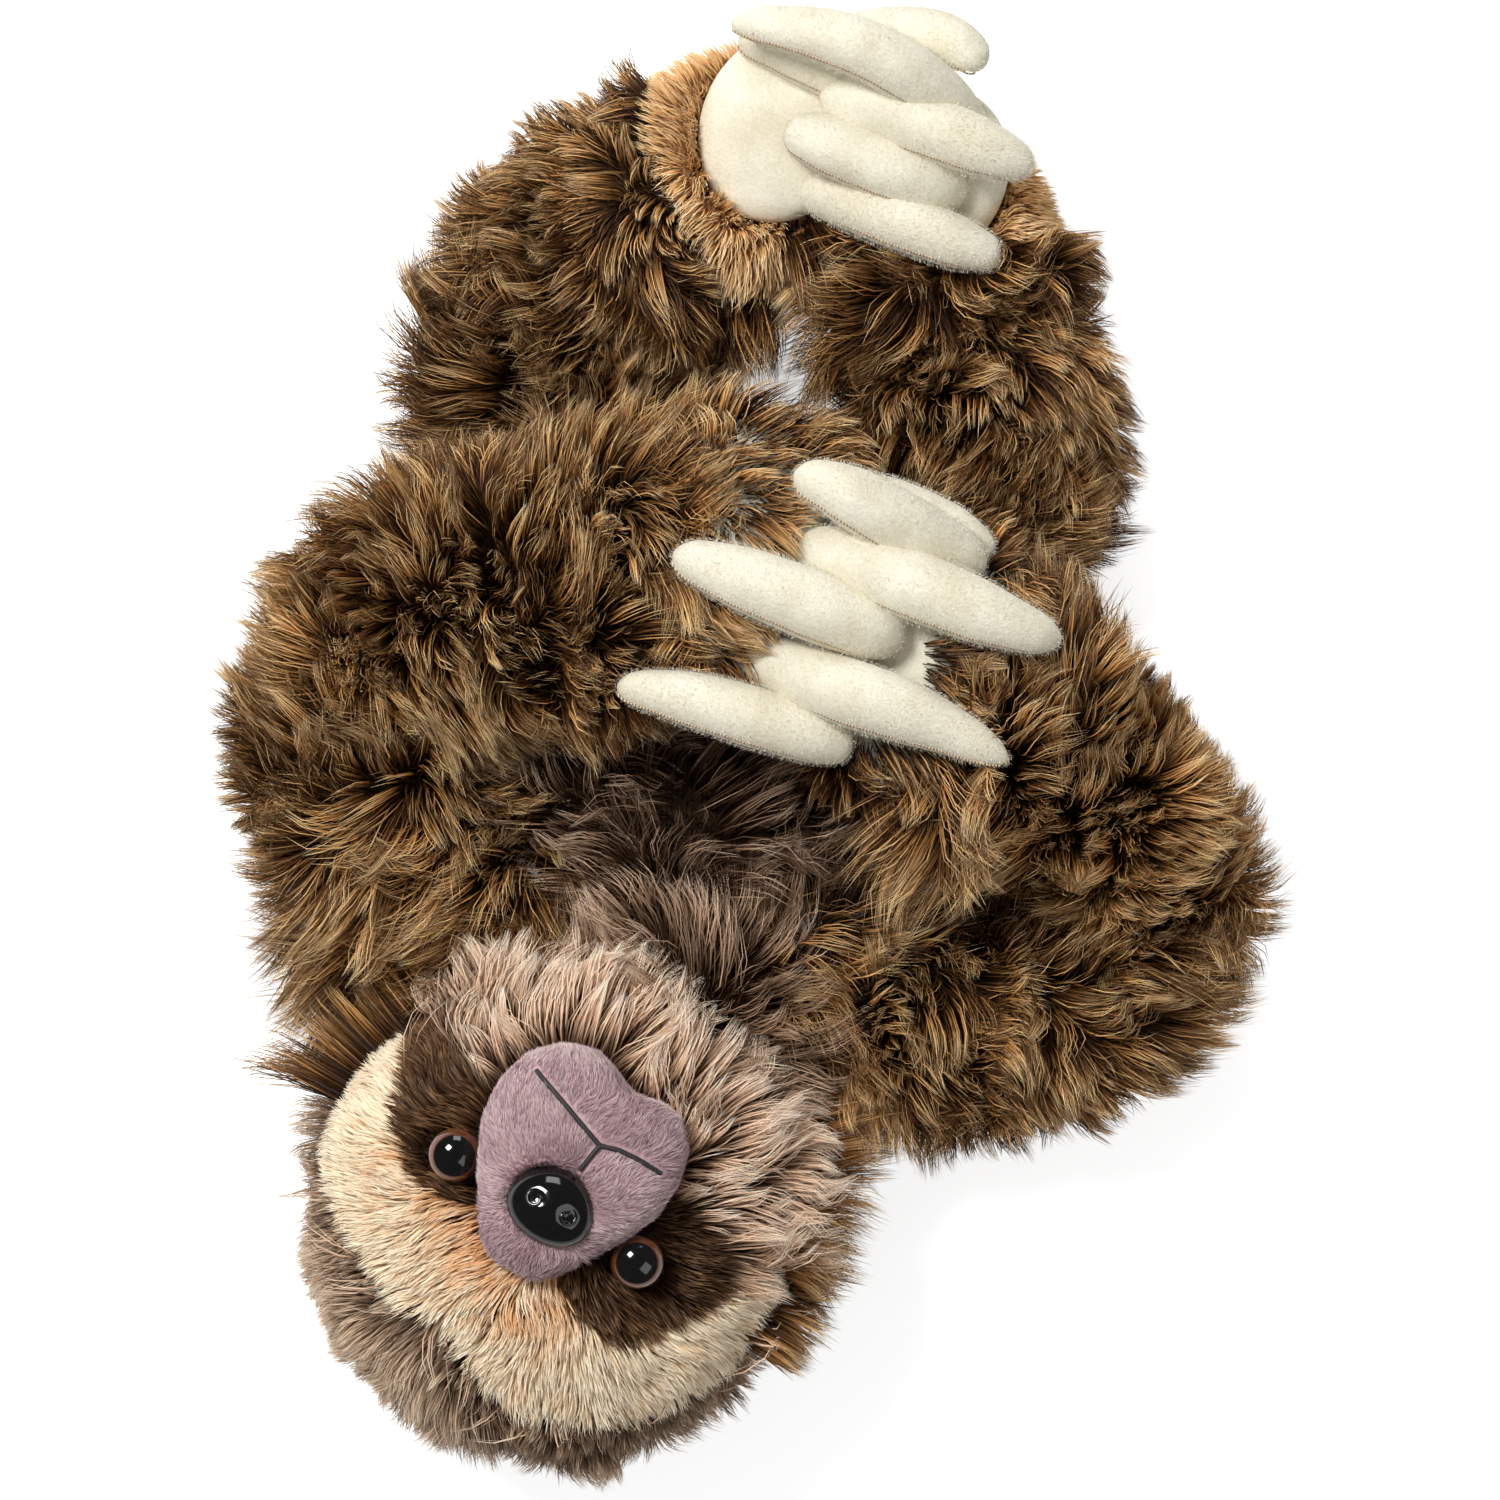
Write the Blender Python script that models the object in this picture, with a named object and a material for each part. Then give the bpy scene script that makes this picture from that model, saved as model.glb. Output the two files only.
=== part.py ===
"""Plush sloth that lies on its back and clasps its hands and its feet over its belly.

Metres, +Z up. The origin is the middle of the flat back that the toy rests on. The head points
to -Y and the feet to +Y. Left and right are the animal's own, so its left side is at -X.

Each limb is a sleeve of fur fabric with stuffing inside. The elbows and knees turn about lines
that are all parallel, so the clasped claws part like the leaves of a drawbridge.
"""
import math

import bmesh
import bpy
from mathutils import Matrix, Vector

for leftover in list(bpy.data.objects):
    bpy.data.objects.remove(leftover, do_unlink=True)

MM = 0.001

# Places on the toy are shares of these two sizes.
LAID_LENGTH = 360 * MM
LAID_HEIGHT = 120 * MM

# The clasped hands and feet lie across the body at this angle to X.
CLASP_LEAN = math.radians(22.0)
ACROSS = Vector((math.cos(CLASP_LEAN), -math.sin(CLASP_LEAN), 0))
ALONG = Vector((math.sin(CLASP_LEAN), math.cos(CLASP_LEAN), 0))
UP = Vector((0, 0, 1))

# Clearance between neighbouring pieces, the wider one where a limb is sewn to the torso, and
# how far a cutter runs past what it cuts.
GAP = 0.3 * MM
SHOULDER_GAP = 0.6 * MM
OVERRUN = 20 * MM

# Fur fabric, backing and laid pile together.
FUR_WALL = 6 * MM
TORSO_WALL = 7 * MM
HEAD_WALL = 6 * MM

BODY_SIDES = 16
LIMB_SIDES = 12
CLAW_SIDES = 8
BALL_COLUMNS = 16
BALL_ROWS = 12


def paint(thing, colour, roughness):
    """Give a piece its own material."""
    material = bpy.data.materials.new(thing.name)
    material.use_nodes = True
    shader = material.node_tree.nodes["Principled BSDF"]
    shader.inputs["Base Color"].default_value = (*colour, 1)
    shader.inputs["Roughness"].default_value = roughness
    shader.inputs["Metallic"].default_value = 0
    thing.data.materials.append(material)


def show(name, shape, colour=None, roughness=0.9, smooth=True):
    """Turn a bmesh into a named object; without a colour it is a cutter."""
    bmesh.ops.recalc_face_normals(shape, faces=shape.faces)
    mesh = bpy.data.meshes.new(name)
    shape.to_mesh(mesh)
    shape.free()
    thing = bpy.data.objects.new(name, mesh)
    bpy.context.scene.collection.objects.link(thing)
    if smooth:
        mesh.shade_smooth()
    if colour is None:
        thing.hide_render = True
        thing.display_type = "WIRE"
    else:
        paint(thing, colour, roughness)
    return thing


def carve(thing, cutter, operation="DIFFERENCE"):
    """Cut one piece by another with the exact solver."""
    cut = thing.modifiers.new(cutter.name, "BOOLEAN")
    cut.operation = operation
    cut.solver = "EXACT"
    cut.object = cutter


def clasp_place(across_share, along_share, height_share):
    """A place in the slanted directions that the limbs are laid out in."""
    flat = ACROSS * across_share + ALONG * along_share
    return flat * LAID_LENGTH + UP * height_share * LAID_HEIGHT


def body_place(x_share, y_share, height_share):
    """A place in the directions of the toy's own frame."""
    return Vector((x_share, y_share, 0)) * LAID_LENGTH + UP * height_share * LAID_HEIGHT


def blended(stations, steps):
    """More stations on a smooth curve through the given ones."""
    result = []
    last = len(stations) - 1
    for index in range(last):
        before, here = stations[max(index - 1, 0)], stations[index]
        there, after = stations[index + 1], stations[min(index + 2, last)]
        for step in range(steps):
            f = step / steps
            place = 0.5 * (
                2 * here[0]
                + (there[0] - before[0]) * f
                + (2 * before[0] - 5 * here[0] + 4 * there[0] - after[0]) * f * f
                + (3 * here[0] - before[0] - 3 * there[0] + after[0]) * f * f * f
            )
            ease = f * f * (3 - 2 * f)
            width = here[1] + (there[1] - here[1]) * ease
            depth = here[2] + (there[2] - here[2]) * ease
            result.append((place, width, depth))
    return result + [stations[last]]


def headings(stations, first, last):
    """Level directions of travel, turning evenly from the first to the last."""
    ends = []
    for given, here, there in (
        (first, stations[0][0], stations[1][0]), (last, stations[-2][0], stations[-1][0])
    ):
        run = given if given is not None else there - here
        ends.append(math.atan2(run.y, run.x))
    turn = (ends[1] - ends[0] + math.pi) % (2 * math.pi) - math.pi
    steps = len(stations) - 1
    angles = [ends[0] + turn * step / steps for step in range(steps + 1)]
    return [Vector((math.cos(angle), math.sin(angle), 0)) for angle in angles]


def rings_of(stations, directions, inset, sides, start_round, end_round):
    """Elliptical rings round a path; a rounded end shrinks to a last small ring."""
    placed = []
    round_steps = (0.9, 0.66, 0.36)
    if start_round:
        reach = start_round - inset
        for turn_share in round_steps:
            angle = turn_share * math.pi / 2
            shift = -directions[0] * math.sin(angle) * reach
            placed.append((stations[0][0] + shift, stations[0], directions[0], math.cos(angle)))
    for station, heading in zip(stations, directions):
        placed.append((station[0], station, heading, 1))
    if end_round:
        reach = end_round - inset
        for turn_share in reversed(round_steps):
            angle = turn_share * math.pi / 2
            shift = directions[-1] * math.sin(angle) * reach
            placed.append((stations[-1][0] + shift, stations[-1], directions[-1], math.cos(angle)))
    rings = []
    for centre, station, heading, shrink in placed:
        side = UP.cross(heading).normalized()
        rise = heading.cross(side).normalized()
        width = (station[1] - inset) * shrink
        depth = (station[2] - inset) * shrink
        ring = []
        for corner in range(sides):
            angle = 2 * math.pi * corner / sides
            ring.append(centre + side * math.cos(angle) * width + rise * math.sin(angle) * depth)
        rings.append(ring)
    return rings


def skin(shape, rings):
    """Lay rings of vertices and the bands of faces between them."""
    laid = [[shape.verts.new(place) for place in ring] for ring in rings]
    for lower, upper in zip(laid, laid[1:]):
        for corner in range(len(lower)):
            after = (corner + 1) % len(lower)
            shape.faces.new((lower[corner], lower[after], upper[after], upper[corner]))
    return laid


def soft_body(
    name, stations, first=None, last=None, steps=2, sides=BODY_SIDES, start_round=0, end_round=0,
    wall=0, grow=0, trim_first=0, trim_last=0, open_first=True, open_last=True, **finish
):
    """A stuffed form along a path: solid, or a shell that is open at one end or at both."""
    stations = blended(stations, steps)
    directions = headings(stations, first, last)
    head, tail = stations[0], stations[-1]
    stations[0] = (head[0] + directions[0] * trim_first, head[1], head[2])
    stations[-1] = (tail[0] - directions[-1] * trim_last, tail[1], tail[2])
    shape = bmesh.new()
    outer = skin(shape, rings_of(stations, directions, -grow, sides, start_round, end_round))
    if wall:
        inner_start = 0 if open_first else start_round
        inner_end = 0 if open_last else end_round
        inner = skin(shape, rings_of(stations, directions, wall, sides, inner_start, inner_end))
        for is_open, outside, inside in (
            (open_first, outer[0], inner[0]), (open_last, outer[-1], inner[-1])
        ):
            if is_open:
                for corner in range(sides):
                    after = (corner + 1) % sides
                    shape.faces.new(
                        (outside[corner], outside[after], inside[after], inside[corner])
                    )
            else:
                shape.faces.new(outside)
                shape.faces.new(inside)
    else:
        shape.faces.new(outer[0])
        shape.faces.new(outer[-1])
    return show(name, shape, **finish)


def sized(table, place, width, depth):
    """Stations from rows of shares: a place, then half the width and half the depth."""
    half_width, half_depth = width / 2, depth / 2
    return [(place(*row[:3]), row[3] * half_width, row[4] * half_depth) for row in table]


def shift_stations(stations, shrink):
    """The same path with a slimmer body, for the stuffing."""
    return [(place, width - shrink, depth - shrink) for place, width, depth in stations]


BROWN_FUR = (0.13, 0.075, 0.04)
TAUPE_FUR = (0.24, 0.17, 0.13)
CREAM_FUR = (0.76, 0.56, 0.36)
DARK_FUR = (0.06, 0.035, 0.02)
TAN_FUR = (0.5, 0.27, 0.12)
VELOUR = (0.86, 0.82, 0.68)
FILLING = (0.85, 0.85, 0.83)
MAUVE_PILE = (0.33, 0.22, 0.24)
BLACK_PLASTIC = (0.01, 0.01, 0.012)
AMBER_PLASTIC = (0.12, 0.045, 0.02)
CLEAR_NYLON = (0.8, 0.8, 0.78)

# Head: a stuffed egg with its crown to the lower left and its face to +Z.
HEAD_TILT = math.radians(30.5)
CROWN = Vector((-math.sin(HEAD_TILT), -math.cos(HEAD_TILT), 0))
SIDE = Vector((math.cos(HEAD_TILT), -math.sin(HEAD_TILT), 0))
HEAD_WIDTH = 117 * MM
HEAD_DEPTH = 103 * MM
HEAD_LENGTH = 104 * MM
HEAD_X_SHARE, HEAD_Y_SHARE = -0.083, -0.321
HEAD_CENTRE = body_place(HEAD_X_SHARE, HEAD_Y_SHARE, 0) + UP * (HEAD_DEPTH / 2 + GAP)
# Rows: place along the crown line in shares of the head's length, half width, half depth.
HEAD_SHARES = (
    (-0.423, 0.44, 0.44),
    (-0.33, 0.70, 0.70),
    (-0.19, 0.88, 0.88),
    (0, 1.0, 1.0),
    (0.19, 0.985, 0.985),
    (0.365, 0.83, 0.83),
)
CROWN_ROUND_SHARE = 0.21
HEAD_STATIONS = [
    (HEAD_CENTRE + CROWN * row[0] * HEAD_LENGTH, row[1] * HEAD_WIDTH / 2, row[2] * HEAD_DEPTH / 2)
    for row in HEAD_SHARES
]
CROWN_ROUND = CROWN_ROUND_SHARE * HEAD_LENGTH

# Neck: a stuffed ball that the head tilts and turns on.
NECK_RADIUS = 21 * MM
NECK_SEAT = 8 * MM
NECK_DROP = 8 * MM
NECK_CENTRE = HEAD_STATIONS[0][0] - CROWN * NECK_SEAT - UP * NECK_DROP

# Torso: widest at the chest, flat where it lies.
TORSO_WIDTH = 94 * MM
TORSO_DEPTH = 60 * MM
CROTCH_ROUND = 18 * MM
# Rows: x, y and height of the middle, half width, half depth.
TORSO_SHARES = (
    (0.025, 0.111, 0.158, 0.68, 0.70),
    (0.019, 0.056, 0.196, 0.87, 0.85),
    (0.008, 0, 0.221, 0.98, 0.95),
    (-0.003, -0.056, 0.233, 1.0, 1.0),
    (-0.008, -0.106, 0.233, 0.92, 0.98),
)
COLLAR_WIDTH = 56 * MM
COLLAR_DEPTH = 52 * MM
COLLAR_DROP = 14 * MM
COLLAR_SEAT = 12.5 * MM
COLLAR_PLACE = NECK_CENTRE + Vector((0, COLLAR_SEAT, -COLLAR_DROP))
TORSO_STATIONS = sized(TORSO_SHARES, body_place, TORSO_WIDTH, TORSO_DEPTH)
TORSO_STATIONS.append((COLLAR_PLACE, COLLAR_WIDTH / 2, COLLAR_DEPTH / 2))

# Arms: from inside the torso to the elbow, then over the belly to the wrist.
ARM_WIDTH = 62 * MM
ARM_DEPTH = 56 * MM
LEFT_UPPER_ARM_SHARES = (
    (-0.033, -0.131, 0.233, 0.74, 0.86),
    (-0.097, -0.150, 0.233, 0.78, 0.88),
    (-0.161, -0.143, 0.242, 0.85, 0.94),
    (-0.194, -0.108, 0.25, 0.87, 0.964),
    (-0.200, -0.067, 0.25, 0.87, 0.964),
)
LEFT_FOREARM_SHARES = (
    (-0.200, -0.067, 0.25, 0.87, 0.964),
    (-0.197, -0.036, 0.325, 0.90, 0.93),
    (-0.172, 0.008, 0.475, 0.97, 0.86),
    (-0.111, 0.050, 0.592, 1.0, 0.77),
    (-0.039, 0.103, 0.642, 1.0, 0.554),
)
LEFT_PALM_SHARES = (
    (-0.039, 0.103, 0.642, 1.0, 0.554),
    (-0.011, 0.114, 0.658, 1.016, 0.518),
    (0.008, 0.119, 0.667, 0.97, 0.464),
)
RIGHT_UPPER_ARM_SHARES = (
    (0.101, -0.103, 0.235, 0.77, 0.82),
    (0.180, -0.119, 0.235, 0.84, 0.92),
    (0.256, -0.118, 0.242, 0.89, 0.96),
    (0.309, -0.061, 0.25, 0.903, 1.0),
    (0.314, -0.017, 0.25, 0.903, 1.0),
)
RIGHT_FOREARM_SHARES = (
    (0.314, -0.017, 0.25, 0.903, 1.0),
    (0.306, 0.017, 0.325, 0.903, 0.96),
    (0.272, 0.047, 0.458, 0.903, 0.89),
    (0.222, 0.061, 0.567, 0.92, 0.78),
    (0.167, 0.075, 0.633, 0.94, 0.571),
)
RIGHT_PALM_SHARES = (
    (0.167, 0.075, 0.633, 0.94, 0.571),
    (0.133, 0.083, 0.658, 0.97, 0.518),
    (0.106, 0.086, 0.667, 0.94, 0.464),
)
PALM_ROUND = 10 * MM
# Directions that the sleeves point in at the wrist, across and along.
LEFT_WRIST_SHARES = (0.93, 0.36)
RIGHT_WRIST_SHARES = (-1, 0.15)

# Legs: from inside the torso to the knee, then up to the ankle, where the tan cuff begins.
LEG_WIDTH = 66 * MM
LEG_DEPTH = 60 * MM
LEFT_THIGH_SHARES = (
    (-0.051, 0.081, 0.167, 0.70, 0.62),
    (-0.089, 0.108, 0.174, 0.74, 0.64),
    (-0.139, 0.140, 0.192, 0.85, 0.74),
    (-0.167, 0.160, 0.225, 0.94, 0.90),
    (-0.1806, 0.222, 0.26, 0.91, 1.0),
)
LEFT_SHIN_SHARES = (
    (-0.1806, 0.222, 0.26, 0.91, 1.0),
    (-0.178, 0.250, 0.267, 0.94, 0.97),
    (-0.161, 0.286, 0.30, 0.95, 0.90),
    (-0.133, 0.319, 0.342, 0.90, 0.77),
)
LEFT_CUFF_SHARES = (
    (-0.133, 0.319, 0.342, 0.90, 0.77),
    (-0.111, 0.350, 0.358, 0.83, 0.67),
    (-0.092, 0.378, 0.367, 0.76, 0.57),
)
RIGHT_THIGH_SHARES = (
    (0.033, 0.097, 0.167, 0.76, 0.66),
    (0.071, 0.136, 0.18, 0.82, 0.70),
    (0.101, 0.179, 0.20, 0.85, 0.80),
    (0.111, 0.213, 0.233, 0.86, 0.93),
    (0.107, 0.236, 0.25, 0.88, 0.967),
)
RIGHT_SHIN_SHARES = (
    (0.107, 0.236, 0.25, 0.88, 0.967),
    (0.103, 0.264, 0.258, 0.88, 0.93),
    (0.086, 0.300, 0.292, 0.85, 0.87),
    (0.067, 0.331, 0.333, 0.82, 0.73),
)
RIGHT_CUFF_SHARES = (
    (0.067, 0.331, 0.333, 0.82, 0.73),
    (0.042, 0.364, 0.35, 0.76, 0.63),
    (0.022, 0.389, 0.358, 0.70, 0.53),
)
CUFF_ROUND = 14 * MM
# Directions that the sleeves point in at the ankle, across and along.
LEFT_ANKLE_SHARES = (0.62, 0.78)
RIGHT_ANKLE_SHARES = (-0.54, 0.84)

# Soles: cushions of velour let into the tan cuffs, facing up.
SOLE_WIDTH = 49 * MM
SOLE_LENGTH = 37 * MM
SOLE_DEPTH = 16 * MM
SOLE_HEIGHT_SHARE = 0.458
SOLE_COLUMNS = 14
SOLE_ROWS = 6
LEFT_SOLE_SHARES = (-0.0917, 0.389)
RIGHT_SOLE_SHARES = (0.0139, 0.397)
RIGHT_SOLE_SIZE_SHARE = 0.9

# Claws: stuffed velour fingers, side by side, so that left and right ones can part.
HAND_CLAW_WIDTH = 14 * MM
FOOT_CLAW_WIDTH = 12.6 * MM
CLAW_ROUND_SHARE = 0.5
# Rows: place across, along and up, and half width in shares of half the claw's width.
CLAW_SHARES = {
    "left_hand_claw_1": (
        (0.019, 0.183, 0.65, 0.76), (0.042, 0.201, 0.72, 0.80), (0.062, 0.208, 0.78, 0.82),
        (0.100, 0.207, 0.81, 0.82), (0.139, 0.204, 0.81, 0.62),
    ),
    "left_hand_claw_2": (
        (0.014, 0.128, 0.683, 0.80), (0.053, 0.134, 0.79, 0.84), (0.086, 0.134, 0.84, 0.85),
        (0.139, 0.134, 0.85, 0.85), (0.192, 0.134, 0.825, 0.66),
    ),
    "left_hand_claw_3": (
        (0.008, 0.062, 0.675, 0.84), (0.053, 0.053, 0.78, 0.94), (0.086, 0.053, 0.833, 0.96),
        (0.133, 0.053, 0.842, 0.96), (0.181, 0.053, 0.825, 0.70),
    ),
    "right_hand_claw_1": (
        (0.136, 0.147, 0.65, 0.80), (0.100, 0.164, 0.745, 0.84), (0.075, 0.1695, 0.80, 0.85),
        (0.039, 0.170, 0.85, 0.85), (0.008, 0.170, 0.85, 0.66),
    ),
    "right_hand_claw_2": (
        (0.128, 0.096, 0.675, 0.84), (0.094, 0.097, 0.775, 0.94), (0.067, 0.097, 0.833, 0.97),
        (0.022, 0.097, 0.854, 0.97), (-0.036, 0.096, 0.842, 0.70),
    ),
    "right_hand_claw_3": (
        (0.128, 0.030, 0.658, 0.84), (0.094, 0.016, 0.75, 0.94), (0.067, 0.0135, 0.80, 0.96),
        (0.022, 0.012, 0.817, 0.96), (-0.042, 0.005, 0.792, 0.70),
    ),
    "left_foot_claw_1": (
        (-0.083, 0.413, 0.408, 0.70), (-0.050, 0.464, 0.45, 0.76), (-0.033, 0.480, 0.508, 0.86),
        (-0.008, 0.481, 0.567, 0.88), (0.020, 0.480, 0.575, 0.70),
    ),
    "left_foot_claw_2": (
        (-0.078, 0.411, 0.466, 0.80), (-0.050, 0.417, 0.567, 0.85), (-0.022, 0.418, 0.625, 0.88),
        (0.020, 0.418, 0.64, 0.88), (0.062, 0.418, 0.60, 0.66),
    ),
    "left_foot_claw_3": (
        (-0.075, 0.350, 0.433, 0.84), (-0.039, 0.350, 0.533, 0.96), (-0.011, 0.350, 0.575, 0.98),
        (0.028, 0.350, 0.58, 0.98), (0.063, 0.351, 0.55, 0.70),
    ),
    "right_foot_claw_1": (
        (0.017, 0.422, 0.458, 0.70), (-0.019, 0.4485, 0.525, 0.76), (-0.056, 0.4485, 0.55, 0.78),
        (-0.094, 0.4485, 0.55, 0.78), (-0.132, 0.448, 0.525, 0.64),
    ),
    "right_foot_claw_2": (
        (0.028, 0.430, 0.475, 0.76), (0, 0.4485, 0.60, 0.80), (-0.033, 0.4485, 0.675, 0.84),
        (-0.078, 0.4485, 0.692, 0.84), (-0.124, 0.440, 0.667, 0.66),
    ),
    "right_foot_claw_3": (
        (0.042, 0.388, 0.458, 0.80), (0.011, 0.386, 0.558, 0.88), (-0.017, 0.385, 0.60, 0.93),
        (-0.044, 0.385, 0.60, 0.93), (-0.074, 0.385, 0.575, 0.72),
    ),
}

# Face: places are shares of the head's width, sideways and towards the crown.
FACE_SHIFT_SHARE = -0.032
PATCH_THICKNESS = 2.6 * MM
# Half outlines, from the middle line outwards; the other half is the mirror image.
BROW_SHARES = (
    (0, 0.33), (0.06, 0.362), (0.14, 0.38), (0.23, 0.36), (0.33, 0.29), (0.41, 0.18),
    (0.45, 0.05), (0.455, -0.07), (0.42, -0.17), (0.385, -0.08), (0.372, 0.03), (0.33, 0.12),
    (0.25, 0.185), (0.17, 0.205), (0.10, 0.17), (0.06, 0.13), (0, 0.13),
)
PATCH_SHARES = (
    (0.07, 0.125), (0.107, 0.163), (0.175, 0.197), (0.246, 0.178), (0.322, 0.113),
    (0.364, 0.028), (0.376, -0.08), (0.345, -0.15), (0.28, -0.16), (0.21, -0.05), (0.12, 0.07),
)

# Muzzle: a domed pad of short pile, narrow between the eyes and broad at the chin.
MUZZLE_WIDTH = 46 * MM
MUZZLE_LENGTH = 52 * MM
MUZZLE_RISE = 12 * MM
MUZZLE_SKIRT = 22 * MM
MUZZLE_PLACE_SHARE = -0.081
MUZZLE_SHARES = (
    (0, 0.52), (0.10, 0.515), (0.20, 0.46), (0.29, 0.34), (0.40, 0.18), (0.49, 0.0),
    (0.51, -0.16), (0.47, -0.32), (0.35, -0.44), (0.19, -0.495), (0, -0.49),
)
# Rows: size of the outline and height above the head's front, in shares of the rise.
DOME_SHARES = ((1, 0), (0.97, 0.34), (0.86, 0.68), (0.66, 0.89), (0.36, 0.98))

# Eyes and nose: moulded plastic on stems, each held by a washer inside the head.
EYE_DIAMETER = 12 * MM
EYE_DEPTH = 10 * MM
EYE_SPACING = 49 * MM
EYE_CROWN_SHARE = 0.011
EYE_SINK = 1 * MM
EYE_STEM_DIAMETER = 4 * MM
NOSE_WIDTH = 20 * MM
NOSE_LENGTH = 18 * MM
NOSE_DEPTH = 13 * MM
NOSE_SINK = 2 * MM
NOSE_CROWN_SHARE = -0.010
NOSE_STEM_DIAMETER = 5 * MM
STEM_TAIL = 4 * MM
FITTING_COLUMNS = 12
FITTING_ROWS = 8
STEM_SIDES = 8
WASHER_SIDES = 14
WASHER_DIAMETER = 13 * MM
WASHER_THICKNESS = 1.6 * MM
WASHER_PLAY = 0.15 * MM


def ball(
    name, centre, size_x, size_y, size_z, turn=0, columns=BALL_COLUMNS, rows=BALL_ROWS, **finish
):
    """An ellipsoid with its axes turned about Z."""
    shape = bmesh.new()
    bmesh.ops.create_uvsphere(shape, u_segments=columns, v_segments=rows, radius=0.5)
    stretch = Matrix.Diagonal((size_x, size_y, size_z, 1))
    place = Matrix.Translation(centre) @ Matrix.Rotation(turn, 4, "Z") @ stretch
    bmesh.ops.transform(shape, matrix=place, verts=shape.verts)
    return show(name, shape, **finish)


def rod(name, low, high, radius, sides=STEM_SIDES, **finish):
    """A round bar between two points on a line parallel to Z."""
    shape = bmesh.new()
    bmesh.ops.create_cone(
        shape, cap_ends=True, segments=sides, radius1=radius, radius2=radius, depth=high.z - low.z
    )
    bmesh.ops.translate(shape, vec=(low + high) / 2, verts=shape.verts)
    return show(name, shape, **finish)


def slab(name, outline, bottom, top, **finish):
    """A flat outline raised between two heights."""
    shape = bmesh.new()
    floor = [shape.verts.new((place.x, place.y, bottom)) for place in outline]
    shape.faces.new(floor)
    raised = bmesh.ops.extrude_face_region(shape, geom=shape.faces[:])
    lifted = [item for item in raised["geom"] if isinstance(item, bmesh.types.BMVert)]
    bmesh.ops.translate(shape, vec=UP * (top - bottom), verts=lifted)
    return show(name, shape, smooth=False, **finish)


def face_place(side_share, crown_share, size=HEAD_WIDTH):
    """A place on the face, seen from the front."""
    middle = HEAD_CENTRE + SIDE * FACE_SHIFT_SHARE * HEAD_WIDTH
    return middle + (SIDE * side_share + CROWN * crown_share) * size


def front_height(place, inset=0):
    """Height of the head's front over a place, by the rows that the place lies between."""
    crownwards = (place - HEAD_CENTRE).dot(CROWN)
    sideways = (place - HEAD_CENTRE).dot(SIDE)
    rows = [((row[0] - HEAD_CENTRE).dot(CROWN), row[1], row[2]) for row in HEAD_STATIONS]
    low, high = rows[0], rows[-1]
    for before, after in zip(rows, rows[1:]):
        if before[0] <= crownwards <= after[0]:
            low, high = before, after
    share = (crownwards - low[0]) / (high[0] - low[0])
    width = low[1] + (high[1] - low[1]) * share - inset
    depth = low[2] + (high[2] - low[2]) * share - inset
    return HEAD_CENTRE.z + depth * math.sqrt(max(1 - (sideways / width) ** 2, 0))


def mirrored(points):
    """A half outline and its mirror image, as one closed loop."""
    return list(points) + [(-side, crown) for side, crown in reversed(points)]


def make_torso():
    shell = soft_body(
        "torso_fur", TORSO_STATIONS, start_round=CROTCH_ROUND, wall=TORSO_WALL,
        open_first=False, colour=BROWN_FUR,
    )
    filling = soft_body(
        "torso_stuffing", shift_stations(TORSO_STATIONS, TORSO_WALL + 2 * GAP),
        start_round=CROTCH_ROUND - TORSO_WALL - 2 * GAP, colour=FILLING,
    )
    corners = [Vector((x, y)) * LAID_LENGTH for x, y in ((-1, -1), (1, -1), (1, 1), (-1, 1))]
    ground = slab("ground_cutter", corners, -OVERRUN, 0)
    facet_share = math.cos(math.pi / BALL_COLUMNS) * math.cos(math.pi / BALL_ROWS / 2)
    seat_diameter = 2 * (NECK_RADIUS + GAP) / facet_share
    seat = ball("neck_cutter", NECK_CENTRE, *(3 * [seat_diameter]))
    carve(shell, ground)
    carve(shell, seat)
    carve(filling, seat)
    soft_body(
        "torso_cutter", TORSO_STATIONS, start_round=CROTCH_ROUND, grow=SHOULDER_GAP,
        trim_last=-SHOULDER_GAP,
    )
    return seat


def make_neck():
    ball("neck_fur", NECK_CENTRE, *(3 * [2 * NECK_RADIUS]), colour=BROWN_FUR)


def make_limb(name, table, width, depth, first, last, into_torso=False, trims=(0, 0)):
    """A fur sleeve and its stuffing, which share one path."""
    stations = sized(table, clasp_place, width, depth)
    shell = soft_body(
        name + "_fur", stations, first=first, last=last, sides=LIMB_SIDES, wall=FUR_WALL,
        trim_first=trims[0], trim_last=trims[1], colour=BROWN_FUR,
    )
    filling = soft_body(
        name + "_stuffing", shift_stations(stations, FUR_WALL + GAP), first=first, last=last,
        sides=LIMB_SIDES, trim_first=trims[0], trim_last=trims[1], colour=FILLING,
    )
    if into_torso:
        for seat in (bpy.data.objects["torso_cutter"], bpy.data.objects["neck_cutter"]):
            carve(shell, seat)
            carve(filling, seat)


def make_palm(name, table, heading, first):
    """The velour hand that closes the sleeve at the wrist."""
    stations = sized(table, clasp_place, ARM_WIDTH, ARM_DEPTH)
    soft_body(
        name, stations, first=first, last=heading, sides=LIMB_SIDES, end_round=PALM_ROUND,
        trim_first=GAP, colour=VELOUR,
    )
    return soft_body(
        name + "_cutter", stations, first=first, last=heading, sides=LIMB_SIDES,
        end_round=PALM_ROUND, grow=GAP,
    )


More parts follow.
